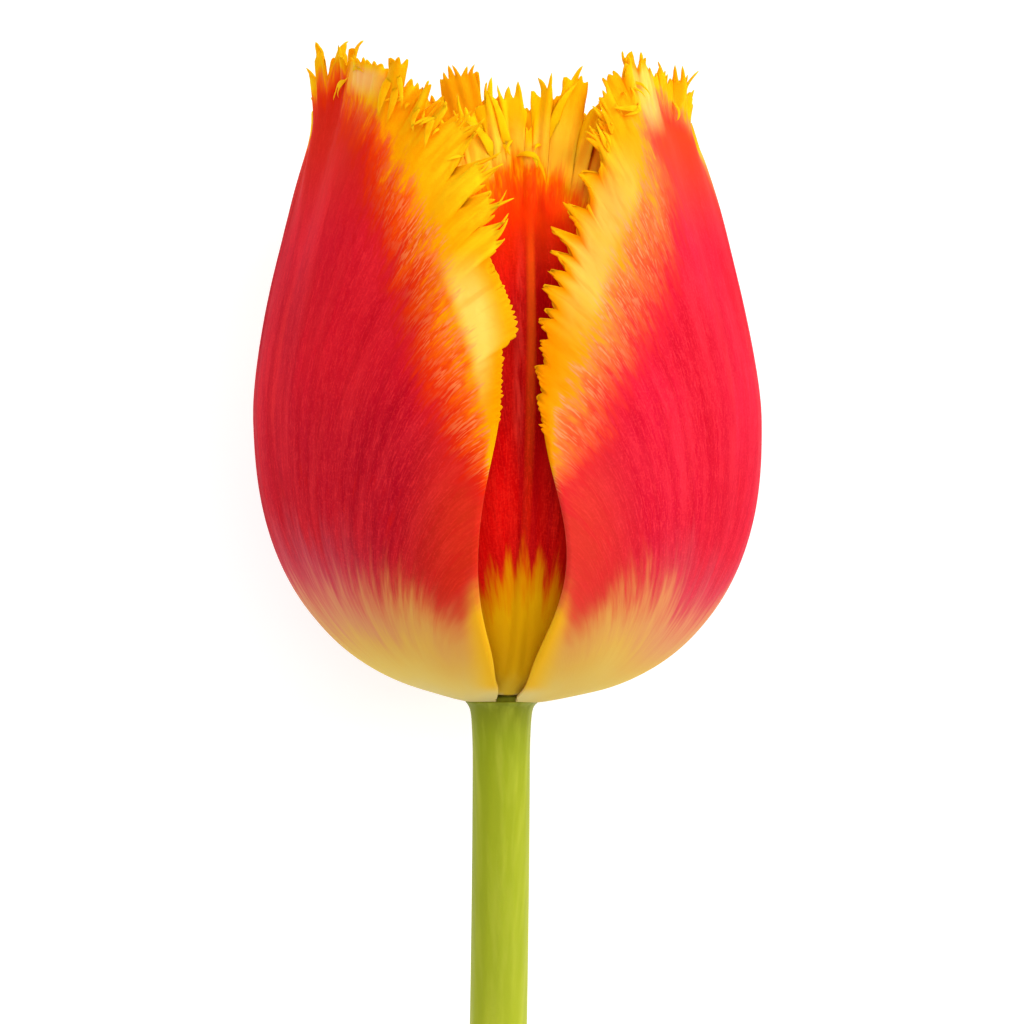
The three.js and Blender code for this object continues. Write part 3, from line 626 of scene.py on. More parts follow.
def tepalSurface(tepal, column, t):
    # A vein leaves the claw and its bearing turns to the margin's with 0.7 t^2 + 0.3 t^9. The point lies on
    # the bowl at the vein's arc, pushed along the bowl's normal by the inset, the crease (a bell curve of the
    # way across), the margin's waves (sines of the place along it), a few pleats and the rib in its furrows.
    # Each fades in with smoothStep: arc in mm up from the claw, t along a vein, share along the margin.
    side = np.where(column < 0, -1.0, 1.0)
    share, width, marginArc = marginAt(tepal, column)
    arc = marginArc * t
    rimAngle = width / bowlAt(marginArc)[0]
    footAngle = math.radians(petal["clawAngle"]) * (1 - share)
    turn = mix(t ** petal["veinTurn"], t ** petal["marginTurn"], petal["marginTurnShare"])
    angle = mix(footAngle, rimAngle, turn)
    rho, h, outRho, outH = bowlAt(arc)
    across = angle * rho * side
    edge = smoothStep(t, petal["edgeFrom"], 1)
    inset = rest["blade"] / 2 + bowl["seatGap"]
    if tepal["inner"]:
        inset = mix(petal["innerSeat"], petal["innerInset"], smoothStep(arc, *petal["insetBetween"]))
        inset = inset + rest["blade"] / 2
    depth = tepal["crease"] * smoothStep(arc, *petal["creaseBetween"])
    depth = depth * mix(1, petal["tipPinch"], smoothStep(arc, petal["tipPinchFrom"], petal["tipPinchTo"]))
    crease = -depth * np.exp(-((across / petal["creaseWidth"]) ** 2))
    wave = tepal["ruffle"] * edge * smoothStep(share, 0.35, 0.7)
    wave = wave * np.sin(tepal["waves"] * math.pi * share * side + tepal["phase"])
    lean = tepal["lean"] * edge ** 2 * smoothStep(share, 0.3, 0.6)
    fromTip = (1 - share) * curves[tepal["right"]]["length"] * side
    frill = np.sin(2 * math.pi * fromTip / petal["frillPitch"] + tepal["phase"]) * tepal["frill"]
    frill = frill * smoothStep(t, 0.8, 1) * smoothStep(share, 0.55, 0.8)
    flare = smoothStep(share, 0.88, 0.95) * smoothStep(share, 1.0, 0.96) - 0.6 * smoothStep(share, 0.9, 0.75)
    flare = flare * tepal["flare"] * (side < 0) * smoothStep(t, 0.75, 1) * smoothStep(share, 0.5, 0.7)
    pleats = sum(
        deep * np.sin(across * perMm + times * tepal["phase"]) for deep, perMm, times in petal["pleats"]
    )
    pleats = tepal["pleat"] * pleats * smoothStep(arc, *petal["pleatBetween"]) * (1 - 0.5 * edge)
    fromRib = across - ribPlace(tepal, arc)
    furrowDepth, furrowAt, furrowHalf = petal["furrow"]
    rib = np.exp(-((fromRib / petal["ribHalf"]) ** 2))
    rib = rib - furrowDepth * np.exp(-(((np.abs(fromRib) - furrowAt) / furrowHalf) ** 2))
    rib = rib * tepal["rib"] * smoothStep(arc, 5, 12) * smoothStep(arc, 78, 68)
    out = crease + wave + lean + frill + flare + pleats + rib - inset
    bearing = math.radians(tepal["centre"]) + angle * side
    radius = rho + outRho * out
    height = h + outH * out + bowl["seatGap"] - tepal["sink"] * smoothStep(arc, 6, 0)
    askew = bowl["shift"] * smoothStep(rho, bowl["clawRadius"] + 0.5, 11) - bowl["lean"] * height
    point = np.stack([radius * np.sin(bearing) + askew, height, radius * np.cos(bearing)], axis=-1)
    return point, arc, across


def edgeDistance(tepal, arc, across):
    # shortest way to the outline in the flat tepal in mm, with the share and side of the nearest point on it
    nearest = np.full(arc.shape, 1e9)
    share, side = np.zeros(arc.shape), np.zeros(arc.shape)
    stops = np.linspace(0.02, 1, 240)
    for way, name in ((-1, tepal["left"]), (1, tepal["right"])):
        curve = curves[name]
        width = np.interp(stops, curve["share"], curve["width"]) * way
        along = np.interp(stops, curve["share"], curve["arc"])
        gaps = np.hypot(across[:, None] - width, arc[:, None] - along)
        pick = gaps.argmin(axis=-1)
        gap = gaps[np.arange(len(arc)), pick]
        closer = gap < nearest
        nearest = np.where(closer, gap, nearest)
        share, side = np.where(closer, stops[pick], share), np.where(closer, way, side)
    return nearest, share, side


def edgeBand(tepal, distance, share, side):
    # 0 at the margin, 1 where the yellow ends, 2 where the red starts, by how wide both are there
    places = [0.36, 0.42, 0.463, 0.524, 0.56, 0.604, 0.68, 0.768, 0.83, 0.88, 0.93, 1.0]
    yellow = np.interp(share, places, [0.02, 0.05, 0.7, 2.6, 3.6, 4.7, 5.8, 6.4, 6.2, 4.6, 2.6, 0.3])
    red = np.interp(share, places, [0.1, 3.0, 5.4, 6.8, 7.9, 9.2, 10.4, 10.8, 10.2, 8.4, 6.2, 4.8])
    fullness = np.where(side < 0, tepal["bandLeft"], tepal["bandRight"])
    more = tepal["tipBand"] * smoothStep(share, 0.82, 0.97)
    yellow, red = yellow * fullness + more, red * fullness + more
    band = np.where(distance < yellow, distance / yellow, 1 + (distance - yellow) / (red - yellow))
    return mix(3.0, band, smoothStep(share, 0.38, 0.47))


def vertexNormals(points, faces):
    # each point's normal is the sum of its triangles' cross products
    a, b, c = (points[faces[:, k]] for k in range(3))
    cross = np.cross(b - a, c - a)
    total = np.zeros_like(points)
    for k in range(3):
        np.add.at(total, faces[:, k], cross)
    return unit(total)


def lobesAlong(tepal, rng, edges):
    # Groups the fringed slots into lobes: the listed ones first, then the free slots in runs of a drawn
    # size. Gives each slot its lobe, and each lobe its span of slots and its shape.
    middle = (edges[:-1] + edges[1:]) / 2
    share = marginAt(tepal, middle)[0]
    length = np.where(middle < 0, curves[tepal["left"]]["length"], curves[tepal["right"]]["length"])
    place = (1 - share) * length * np.sign(middle)
    fringed = np.abs(middle) < 1 - petal["fringeFrom"]
    lobe = np.full(len(middle), -1)
    spans, shapes = [], []
    for start, end, *shape in tepal["lobes"]:
        own = np.flatnonzero(fringed & (place >= start) & (place < end))
        if len(own):
            lobe[own] = len(spans)
            spans.append((own[0], own[-1] + 1))
            shapes.append(shape)
    at = 0
    while at < len(middle):
        if not fringed[at] or lobe[at] >= 0:
            at += 1
            continue
        end = at + int(rng.integers(tepal["lobeSlots"][0], tepal["lobeSlots"][1] + 1))
        taken = np.flatnonzero(~fringed[at:end] | (lobe[at:end] >= 0))
        end = at + taken[0] if len(taken) else min(end, len(middle))
        lobe[at:end] = len(spans)
        half = share[(at + end) // 2]
        grown = smoothStep(half, *tepal["grown"])
        out = tepal["lobeTilt"] * (rng.uniform(-0.5, 0.5) + 0.5 * (-1) ** len(spans))
        spans.append((at, end))
        shapes.append((
            rng.uniform(*tepal["lobeReach"]) * grown, rng.uniform(*tepal["lobeTooth"]) * mix(0.25, 1, grown),
            out * smoothStep(half, 0.62, 0.85), *(tepal["lobeEnd"] + rng.uniform(-0.2, 0.2, 2)),
        ))
        at = end
    return lobe, np.array(spans), np.array(shapes).T


def curledTeeth(tepal, rng):
    # Teeth bent back over the blade. Each follows (1-q)^2 a + 2q(1-q) b + q^2 c between three places given in
    # mm along the margin from the tip, in from it and out from the blade. Its section is a flat ellipse that
    # narrows to a point with (1 - q^1.6)^0.8.
    count, rows, sides = tepal["looseCurls"], petal["curlRows"], petal["curlSides"]
    along = rng.uniform(*tepal["looseFrom"], count)
    turn = rng.uniform(-1, 1, count)
    drop = rng.uniform(1.0, 2.4, count)
    loose = np.stack([along, rng.uniform(-0.2, 0.6, count), 0 * turn, along + turn, 0.5 * drop,
                      rng.uniform(0.8, 1.3, count), along + 1.8 * turn, drop, rng.uniform(0.5, 1.2, count),
                      rng.uniform(0.2, 0.32, count)], axis=-1)
    curls = np.concatenate([np.array(tepal["curls"], float).reshape(-1, 10), loose])
    q = np.linspace(0, 1, rows)
    a, b, c = (curls[:, None, k:k + 3] for k in (0, 3, 6))
    way = (1 - q[:, None]) ** 2 * a + 2 * (q * (1 - q))[:, None] * b + q[:, None] ** 2 * c
    length = np.where(way[..., 0] < 0, curves[tepal["left"]]["length"], curves[tepal["right"]]["length"])
    share = 1 - np.abs(way[..., 0]) / length
    column = np.sign(way[..., 0]) * (1 - (share - petal["firstVein"]) / (1 - petal["firstVein"]))
    t = 1 - way[..., 1] / marginAt(tepal, column)[2]
    line, arc, across = tepalSurface(tepal, column, t)
    sideStep = tepalSurface(tepal, column + 0.004, t)[0] - line
    upStep = tepalSurface(tepal, column, t + 0.004)[0] - line
    outWay = unit(np.cross(sideStep, upStep))
    line = line + way[..., 2:] * outWay
    tangent = unit(np.gradient(line, axis=1))
    flat = unit(np.cross(outWay, tangent))
    thick = unit(np.cross(tangent, flat))
    angle = np.arange(sides) / sides * 2 * math.pi
    narrow = (1 - q ** 1.6) ** 0.8 * smoothStep(q, -0.1, 0.35) + 0.02
    wide = curls[:, 9][:, None, None] * narrow[:, None] * np.cos(angle)
    deep = petal["curlThickness"] / 2 * narrow[None, :, None] * np.sin(angle)
    tube = line[:, :, None] + wide[..., None] * flat[:, :, None] + deep[..., None] * thick[:, :, None]
    ids = np.arange(len(curls) * rows * sides).reshape(-1, rows, sides)
    ends = ids.size + np.arange(2 * len(curls)).reshape(2, -1, 1)
    first, last = ids[:, 0], ids[:, -1]
    here, there = ids[:, :-1], np.roll(ids, -1, axis=2)[:, :-1]
    above, beyond = ids[:, 1:], np.roll(ids, -1, axis=2)[:, 1:]
    faces = np.concatenate([
        np.stack([here, there, beyond], axis=-1).reshape(-1, 3),
        np.stack([here, beyond, above], axis=-1).reshape(-1, 3),
        np.stack([np.roll(first, -1, axis=1), first, ends[0] + 0 * first], axis=-1).reshape(-1, 3),
        np.stack([last, np.roll(last, -1, axis=1), ends[1] + 0 * last], axis=-1).reshape(-1, 3),
    ])
    points = np.concatenate([tube.reshape(-1, 3), line[:, 0], line[:, -1]])

    def spread(v):
        return np.concatenate([np.repeat(v.ravel(), sides), v[:, 0], v[:, -1]])

    return points, faces, spread(column), spread(arc), spread(across)


def buildTepal(name, tepal, material):
    # The middle sheet is a grid of tepalSurface. Its margin is drawn out into lobes with (row share)^2.2 and
    # carries a tooth on each slot, which narrows with (1 - q^1.3)^0.8. Half the thickness is added along the
    # normal on both sides, and a wall round the border closes the two faces.
    rng = np.random.default_rng(tepal["seed"])
    slots, rows, stripRows, spikeRows = (petal[k] for k in ("slots", "rows", "stripRows", "spikeRows"))
    perSlot, perColumn = petal["finePerSlot"], petal["finePerSlot"] * petal["slotsPerColumn"]
    widths = rng.uniform(0.7, 1.3, slots)
    edges = np.concatenate([[0], np.cumsum(widths)])
    edges = edges / edges[-1] * 2 - 1
    columns = edges[::petal["slotsPerColumn"]]
    fineCount = perSlot * slots + 1
    fine = np.interp(np.arange(fineCount) / perSlot, np.arange(slots + 1), edges)
    lobe, spans, (lobeReach, lobeTooth, lobeTilt, endFrom, endTo) = lobesAlong(tepal, rng, edges)

    def stripFrom(column):
        return 1 - np.minimum(0.3, tepal["stripWidth"] / marginAt(tepal, column)[2])

    # blade: coarse columns up to where the strip starts
    t = np.arange(rows + 1) / rows * (stripFrom(columns) * (1 - 0.6 / rows))[:, None]
    blade, bladeArc, bladeAcross = tepalSurface(tepal, np.repeat(columns[:, None], rows + 1, axis=1), t)

    # strip: fine columns, drawn out into lobes at its end
    share, _, marginArc = marginAt(tepal, fine)
    slotOf = np.clip(np.arange(fineCount) // perSlot, 0, slots - 1)
    lobeOf = lobe[slotOf]
    inLobe = lobeOf >= 0
    start, end = (spans[np.maximum(lobeOf, 0), k] * perSlot for k in (0, 1))
    u = np.where(inLobe, 2 * (np.arange(fineCount) - start) / (end - start) - 1, 0) * -np.sign(fine)
    rising = np.clip((1 + u) / (1 + endFrom[lobeOf]), 0, 1) ** tepal["lobeRise"]
    steepness = mix(1.0, 0.5, smoothStep(endTo[lobeOf], -0.5, 0.3))
    falling = np.clip((1 - u) / (1 - endTo[lobeOf]), 0, 1) ** steepness
    bulge = np.where(inLobe, np.minimum(rising, falling), 0)
    crown = smoothStep(share, 0.8, 0.93)
    notch = mix(tepal["notch"] * smoothStep(share, *tepal["notchFrom"]), tepal["tipNotch"], crown)
    reach = np.where(inLobe, (lobeReach[lobeOf] + notch) * bulge - notch, 0)
    tiltOut = np.where(inLobe, lobeTilt[lobeOf] * (1 - u * u), 0)
    r = np.arange(stripRows + 1) / stripRows
    from0 = stripFrom(fine)[:, None]
    fineGrid = np.repeat(fine[:, None], stripRows + 1, axis=1)
    strip, stripArc, stripAcross = tepalSurface(tepal, fineGrid, from0 + (1 - from0) * r)
    veinWay = unit(strip[:, -1] - tepalSurface(tepal, fine, np.full(fine.shape, 0.985))[0])
    step = 0.004
    marginWay = unit(tepalSurface(tepal, np.minimum(fine + step, 1), np.ones(fine.shape))[0]
                     - tepalSurface(tepal, np.maximum(fine - step, -1), np.ones(fine.shape))[0])
    outWay = unit(np.cross(marginWay, veinWay))
    edgeWay = unit(np.cross(outWay, marginWay))
    lobeWay = unit(0.85 * edgeWay + 0.15 * veinWay)
    tipWay = -np.sign(fine)[:, None] * marginWay  # along the margin towards the tip
    fan = -tepal["narrowing"] * mix(1, tepal["crownFan"], crown) * u * np.clip(reach + notch, 0, None)
    alongMargin = (1 - share) * curves[tepal["right"]]["length"] * np.sign(fine)
    swing = (2.2 * alongMargin + 1.8 * np.sin(0.9 * alongMargin + tepal["seed"]))[:, None]
    ripple = np.sin(4.3 * alongMargin[:, None] - 4.2 * r + 2.1 * tepal["seed"])
    fold = 0.6 * np.sin(swing + 1.6 * r) + 0.4 * ripple
    fold = tepal["fold"] * fold * smoothStep(share, 0.62, 0.8)[:, None] * r ** 1.5
    drawn = reach[:, None] * lobeWay + fan[:, None] * tipWay
    tilted = tiltOut[:, None] * outWay - (0.3 * np.abs(tiltOut))[:, None] * lobeWay
    strip = strip + (r ** 2.2)[None, :, None] * drawn[:, None, :]
    strip = strip + fold[..., None] * outWay[:, None, :]
    strip = strip + (r ** 2.6)[None, :, None] * tilted[:, None, :]

    # teeth: one to a fringed slot, narrowing from the strip's last row to a point
    spiked = np.flatnonzero(lobe >= 0)
    root = spiked[:, None] * perSlot + np.arange(perSlot + 1)
    roots = strip[:, -1][root]
    foot = roots.mean(axis=1)
    middle = spiked * perSlot + perSlot // 2
    sideways = mix(-0.1, 0.35, crown[middle]) * u[middle] + rng.uniform(-0.2, 0.3, len(spiked))
    heading = lobeWay[middle] + sideways[:, None] * tipWay[middle]
    outwards = tiltOut[middle] * 0.45 + rng.uniform(-0.4, 0.4, len(spiked)) * mix(0.45, 1, crown[middle])
    heading = unit(heading + outwards[:, None] * outWay[middle])
    length = lobeTooth[lobeOf[middle]] * smoothStep(bulge[middle], 0.15, 0.75) + 0.05
    length = length * rng.uniform(0.4, 1.5, len(spiked))
    bend = rng.uniform(-0.4, 0.4, len(spiked)) + tepal["curl"]
    veer = rng.uniform(-0.2, 0.4, len(spiked))
    q = np.arange(1, spikeRows + 1) / spikeRows
    centre = foot[:, None] + (length[:, None] * q)[..., None] * heading[:, None]
    bent = bend[:, None] * outWay[middle] + veer[:, None] * tipWay[middle]
    centre = centre + (length[:, None] * q ** 2)[..., None] * bent[:, None]
    blunt = crown[middle][:, None]
    narrow = (1 - q ** mix(1.3, 1.9, blunt)) ** mix(0.8, 0.7, blunt)
    narrow = narrow * (1 - 0.25 * blunt * smoothStep(q, 0, 0.4))
    spikes = centre[:, :-1, None] + (roots - foot[:, None])[:, None] * narrow[:, :-1, None, None]
    points = centre[:, -1]

    # one list of middle points with what the paint needs
    count = [blade[..., 0].size, strip[..., 0].size, spikes[..., 0].size, len(points)]
    starts = np.concatenate([[0], np.cumsum(count)])
    bladeIds = np.arange(count[0]).reshape(blade.shape[:2])
    stripIds = starts[1] + np.arange(count[1]).reshape(strip.shape[:2])
    spikeIds = starts[2] + np.arange(count[2]).reshape(spikes.shape[:3])
    pointIds = starts[3] + np.arange(count[3])
    mid = np.concatenate([blade.reshape(-1, 3), strip.reshape(-1, 3), spikes.reshape(-1, 3), points])
    spikeShape = np.ones(spikes.shape[:3])
    vein = np.concatenate([np.repeat(columns, rows + 1), np.repeat(fine, stripRows + 1),
                           (fine[root][:, None] * spikeShape).ravel(), fine[middle]])
    rootArc, rootAcross = stripArc[:, -1][middle], stripAcross[:, -1][middle]
    spikeArc = (rootArc[:, None, None] + (length[:, None] * q[:-1])[..., None] * spikeShape).ravel()
    arc = np.concatenate([bladeArc.ravel(), stripArc.ravel(), spikeArc, rootArc + length])
    across = np.concatenate([bladeAcross.ravel(), stripAcross.ravel(),
                             (rootAcross[:, None, None] * spikeShape).ravel(), rootAcross])
    distance, nearShare, nearSide = edgeDistance(tepal, arc[:starts[2]], across[:starts[2]])
    band = edgeBand(tepal, distance, nearShare, nearSide)
    spikeTail = np.zeros(count[2] + count[3])
    distance, band = np.concatenate([distance, spikeTail]), np.concatenate([band, spikeTail])
    # crest is high on the lobes' middles and below 0 in the notches: it carries painted highlight on the
    # crests and painted shade between them
    crest = bulge * smoothStep(share, 0.55, 0.7) - 0.6 * (1 - bulge) * inLobe * smoothStep(share, 0.6, 0.72)
    fade = r ** np.where(crest < 0, 2.5, 1)[:, None]
    crestLighting = np.concatenate([np.zeros(count[0]), (crest[:, None] * fade).ravel(),
                           (0.6 * crest[middle][:, None, None] * spikeShape).ravel(), crest[middle] * 0.7])
    thick = mix(petal["baseThickness"], petal["bladeThickness"], smoothStep(arc, 2, 20))
    edgeFade = np.concatenate([smoothStep(distance[:starts[2]], 9, 0), spikeTail + 1])
    thick = mix(thick, petal["marginThickness"], edgeFade)
    spikeThick = mix(petal["marginThickness"], petal["spikeThickness"], q)
    plump = np.array([0.6, 1.0, 1.1, 1.0, 0.6])
    thick[starts[2]:starts[3]] = (spikeShape * spikeThick[None, :-1, None] * plump).ravel()
    thick[starts[3]:] = petal["spikeThickness"] * 0.5

    # triangles of the middle sheet: blade, strip, the fan of triangles that joins them, and the spikes
    a, b = bladeIds[:-1, -1], bladeIds[1:, -1]
    f = [stripIds[k:fineCount - perColumn + k:perColumn, 0] for k in range(perColumn)]
    f.append(stripIds[perColumn::perColumn, 0])
    half = perColumn // 2
    seam = [(a, f[k + 1], f[k]) for k in range(half)] + [(a, b, f[half])]
    seam += [(b, f[k + 1], f[k]) for k in range(half, perColumn)]
    rowsOf = np.concatenate([stripIds[:, -1][root][:, None], spikeIds], axis=1).transpose(0, 2, 1)
    s0, s1, w0, w1 = rowsOf[:, :-1, :-1], rowsOf[:, :-1, 1:], rowsOf[:, 1:, :-1], rowsOf[:, 1:, 1:]
    sheet = np.concatenate(
        [gridFaces(bladeIds), gridFaces(stripIds)]
        + [np.stack(part, axis=-1) for part in seam]
        + [np.stack([s0, w0, w1], axis=-1).reshape(-1, 3), np.stack([s0, w1, s1], axis=-1).reshape(-1, 3)]
        + [np.stack([rowsOf[:, k, -1], rowsOf[:, k + 1, -1], pointIds], axis=-1) for k in range(perSlot)]
    )
    normals = vertexNormals(mid, sheet)

    # the border as pairs of neighbours: round each spike, along the plain margin, down the right, up the left
    roundSpike = np.concatenate([rowsOf[:, 0], pointIds[:, None], rowsOf[:, -1, ::-1]], axis=1)
    plain = np.flatnonzero(lobe < 0)
    plainRun = stripIds[:, -1][plain[:, None] * perSlot + np.arange(perSlot + 1)]
    down = np.concatenate([stripIds[-1, ::-1], bladeIds[-1, ::-1], bladeIds[::-1, 0][1:]])
    up = np.concatenate([bladeIds[0], stripIds[0]])
    runs = [roundSpike, plainRun, down[None], up[None]]
    border = np.concatenate([np.stack([run[:, :-1], run[:, 1:]], axis=-1).reshape(-1, 2) for run in runs])

    upper = mid + normals * (thick / 2)[:, None]
    lower = mid - normals * (thick / 2)[:, None]
    if name == "outer_tepal_back":
        upper, lower = pressFlat(upper, 0.0), pressFlat(lower, petal["bladeThickness"])
    n = len(mid)
    here, there = border[:, 0], border[:, 1]
    faces = np.concatenate([
        sheet, sheet[:, ::-1] + n,
        np.stack([here, there, there + n], axis=-1), np.stack([here, there + n, here + n], axis=-1),
    ])
    curls, curlFaces, curlVein, curlArc, curlAcross = curledTeeth(tepal, rng)
    faces = np.concatenate([faces, curlFaces + 2 * n])
    none = np.zeros(len(curls))
    insideFlag = np.concatenate([np.zeros(n), np.ones(n), none])
    # the curled teeth get a painted highlight of 0.8
    vein, arc, across, band, distance, crestLighting = (np.concatenate([np.tile(v, 2), extra]) for v, extra in (
        (vein, curlVein), (arc, curlArc), (across, curlAcross), (band, none), (distance, none),
        (crestLighting, none + 0.8),
    ))
    uv = np.stack([(vein + 1) / 4 * 0.98 + insideFlag / 2 + 0.005, arc / (arc.max() + 1)], axis=-1)
    floats = {
        "veinPlace": np.stack([vein, arc, across - ribPlace(tepal, arc)], axis=-1),
        "edgePlace": np.stack([band, distance, crestLighting], axis=-1),
        "inside": insideFlag,
    }
    pieceName = "petal_" + name.replace("_tepal", "")
    print("tulip:", pieceName, len(faces), "triangles,", len(spiked), "spikes")
    points = np.concatenate([upper, lower, curls])
    return makePiece(pieceName, points, faces, name, material, uv, floats)


def pressFlat(points, least):
    # soft maximum of the height over the surface and the least height allowed: (x + sqrt(x^2 + k^2)) / 2
    cos, sin = math.cos(tilt), math.sin(tilt)
    height = points[:, 1] * sin + points[:, 2] * cos + axisRise - least
    lifted = (height + np.sqrt(height ** 2 + rest["softness"] ** 2)) / 2
    lift = (lifted - height) * smoothStep(height, 4, 1.5)
    return points + lift[:, None] * np.array([0, sin, cos])


for order, (name, tepal) in enumerate(tepals.items()):
    look = {**tepal["look"], "seed": 3.1 + 5 * order}
    skin = petalSkin("petal_skin_" + name, look)
    buildTepal(name, tepal, skin)


def turnedPiece(radius, height, sides, shape):
    # a profile turned about y, closed by one point at each end; shape moves the points afterwards
    angle = np.arange(sides) / sides * 2 * math.pi
    ring = np.stack([
        np.outer(np.sin(angle), radius[1:-1]), np.outer(np.ones(sides), height[1:-1]),
        np.outer(np.cos(angle), radius[1:-1]),
    ], axis=-1)
    points = np.concatenate([ring.reshape(-1, 3), [[0, height[0], 0], [0, height[-1], 0]]])
    ids = np.arange(sides * (len(radius) - 2)).reshape(sides, -1)
    bottom, top = ids.size, ids.size + 1
    after = np.roll(ids, -1, axis=0)
    faces = np.concatenate([
        gridFaces(ids, wrap=True),
        np.stack([np.full(sides, bottom), after[:, 0], ids[:, 0]], axis=-1),
        np.stack([ids[:, -1], after[:, -1], np.full(sides, top)], axis=-1),
    ])
    return shape(points), faces


def stemShape(p):
    # A small step to the side under the seat, then a drift with the square of the distance. Two sines of the
    # angle make faint ridges round the stalk, and the last 5 mm are slanted by z times the cut's slope.
    x, y, z = p.T
    angle = np.arctan2(x, z)
    ridge = 1 + 0.008 * np.sin(5 * angle + y * 0.02) + 0.005 * np.sin(13 * angle - y * 0.05)
    ridge = np.where(y < 0, ridge, 1)
    nearCut = smoothStep(y, -stalk["length"] + 5, -stalk["length"])
    x, z = x * ridge, z * ridge
    y = y + nearCut * stalk["cutSlant"] * z
    x = x + stalk["sway"] * (np.minimum(0, y) / stalk["length"]) ** 2
    x = x + stalk["offset"] * smoothStep(y, 1.6, -0.4)
    return np.stack([x, y, z], axis=-1)


def stemProfile():
    # cut face, straight stalk, flare (0.35 share^2 + 0.65 share^14), rounded rim, the flesh between the claws
    # and the receptacle's dome, as radius and height
    length, flare = stalk["length"], stalk["collarLength"]
    cut = np.linspace(0, 1, 10)
    side = np.linspace(-length + 0.15, -flare, stalk["rows"])
    share = np.linspace(0.04, 1, 60)
    flareR = mix(stalk["radius"], stalk["collarRadius"], 0.35 * share ** 2 + 0.65 * share ** 14)
    flareH = mix(-flare, 0.1, share)
    over = np.linspace(0.2, math.pi / 2, 8)
    rimR = stalk["collarRadius"] - 0.25 + 0.25 * np.cos(over)
    rimH = 0.1 + 0.2 * np.sin(over)
    domeAngle = np.linspace(0, math.pi / 2, 12)
    radius = np.concatenate([
        stalk["radius"] * cut * 0.97, np.full(len(side), stalk["radius"]), flareR, rimR,
        [3.72, 3.66, 3.5], stalk["domeRadius"] * np.cos(domeAngle) ** 0.6,
    ])
    height = np.concatenate([
        -length + 0.07 * (1 - cut ** 2), side, flareH, rimH,
        [0.4, 0.62, 0.78], 0.84 + (stalk["domeHeight"] - 0.84) * np.sin(domeAngle),
    ])
    radius[-1] = 0
    return radius, height


def stemSkin():
    # Tulip stalk: a smooth waxy skin over green flesh, with long faint stripes of lighter cells, paler and
    # yellower away from the bloom, and a wet pale pith where it is cut.
    material, tree = newMaterial("stalk_skin")
    place = addNode(tree, "Attribute", attribute_name="stalkPlace").outputs["Vector"]
    turn, height, radiusShare = addNode(tree, "SeparateXYZ", {0: place}).outputs
    objectPlace = addNode(tree, "TexCoord").outputs["Object"]
    # stripes 1.1 mm wide and 80 mm long, and specks of 0.4 mm: single cells are too fine to show
    along = addNode(tree, "VectorMath", {0: objectPlace, 1: (900, 12, 900)}, operation="MULTIPLY").outputs[0]
    stripe = addNode(tree, "TexNoise", {"Vector": along, "Scale": 1.0, "Detail": 3.0}).outputs["Fac"]
    speck = addNode(tree, "TexNoise", {"Vector": objectPlace, "Scale": 2600.0, "Detail": 2.0}).outputs["Fac"]
    broad = addNode(tree, "TexNoise", {"Vector": objectPlace, "Scale": 60.0, "Detail": 2.0}).outputs["Fac"]
    upStalk = {"Value": height, "From Min": -float(stalk["length"]), "From Max": 0.0}
    green = addNode(tree, "ValToRGB", {0: addNode(tree, "MapRange", upStalk).outputs[0]}, stops=[
        (0.0, "#a8ae34"), (0.75, "#a4ac24"), (0.93, "#98a21a"), (0.975, "#8e9a18"), (0.994, "#868e1a"),
        (1.0, "#848a20"),
    ]).outputs[0]
    pith = addNode(tree, "ValToRGB", {0: radiusShare}, stops=[
        (0.0, "#dfe0b4"), (0.55, "#cfd494"), (0.8, "#b7c070"), (0.93, "#9aa648"), (1.0, "#8f9a3c"),
    ]).outputs[0]
    lightShare = {"Value": stripe, "From Min": 0.45, "From Max": 0.75, "To Max": 0.45}
    darkShare = {"Value": broad, "From Min": 0.6, "From Max": 0.3, "To Max": 0.25}
    onCut = addNode(tree, "Attribute", attribute_name="cutFace").outputs["Fac"]
    colour = green
    for share, over in (
        (addNode(tree, "MapRange", lightShare).outputs[0], linear("#bcc040")),
        (addNode(tree, "MapRange", darkShare).outputs[0], linear("#7f8f24")),
        (onCut, pith),
    ):
        colour = addNode(tree, "Mix", {0: share, 6: colour, 7: over}, data_type="RGBA").outputs[2]
    relief = addNode(tree, "Math", {0: stripe, 1: speck}, operation="ADD").outputs[0]
    bump = addNode(tree, "Bump", {"Strength": 0.25, "Distance": 0.00008, "Height": relief}).outputs[0]
    rough = addNode(tree, "MapRange", {"Value": speck, "To Min": 0.38, "To Max": 0.52}).outputs[0]
    shader = addNode(tree, "BsdfPrincipled", {
        "Base Color": colour, "Roughness": rough, "Normal": bump, "IOR": 1.42, "Specular IOR Level": 0.12,
        "Subsurface Weight": 0.25, "Subsurface Radius": (0.7, 1.0, 0.3), "Subsurface Scale": 0.0015,
    }).outputs[0]
    addNode(tree, "OutputMaterial", {"Surface": shader})
    return material


radius, height = stemProfile()
stemPoints, stemFaces = turnedPiece(radius, height, stalk["sides"], lambda p: p)
upright = stemPoints.copy()
stemPoints = stemShape(stemPoints)
share = np.hypot(upright[:, 0], upright[:, 2]) / stalk["radius"]
onCut = (upright[:, 1] < -stalk["length"] + 0.1).astype(float)
stemFloats = {
    "stalkPlace": np.stack([np.arctan2(upright[:, 0], upright[:, 2]), upright[:, 1], share], axis=-1),
    "cutFace": onCut,
}
makePiece("stem_stalk", stemPoints, stemFaces, "stem", stemSkin(), None, stemFloats)
print("tulip: stalk made")

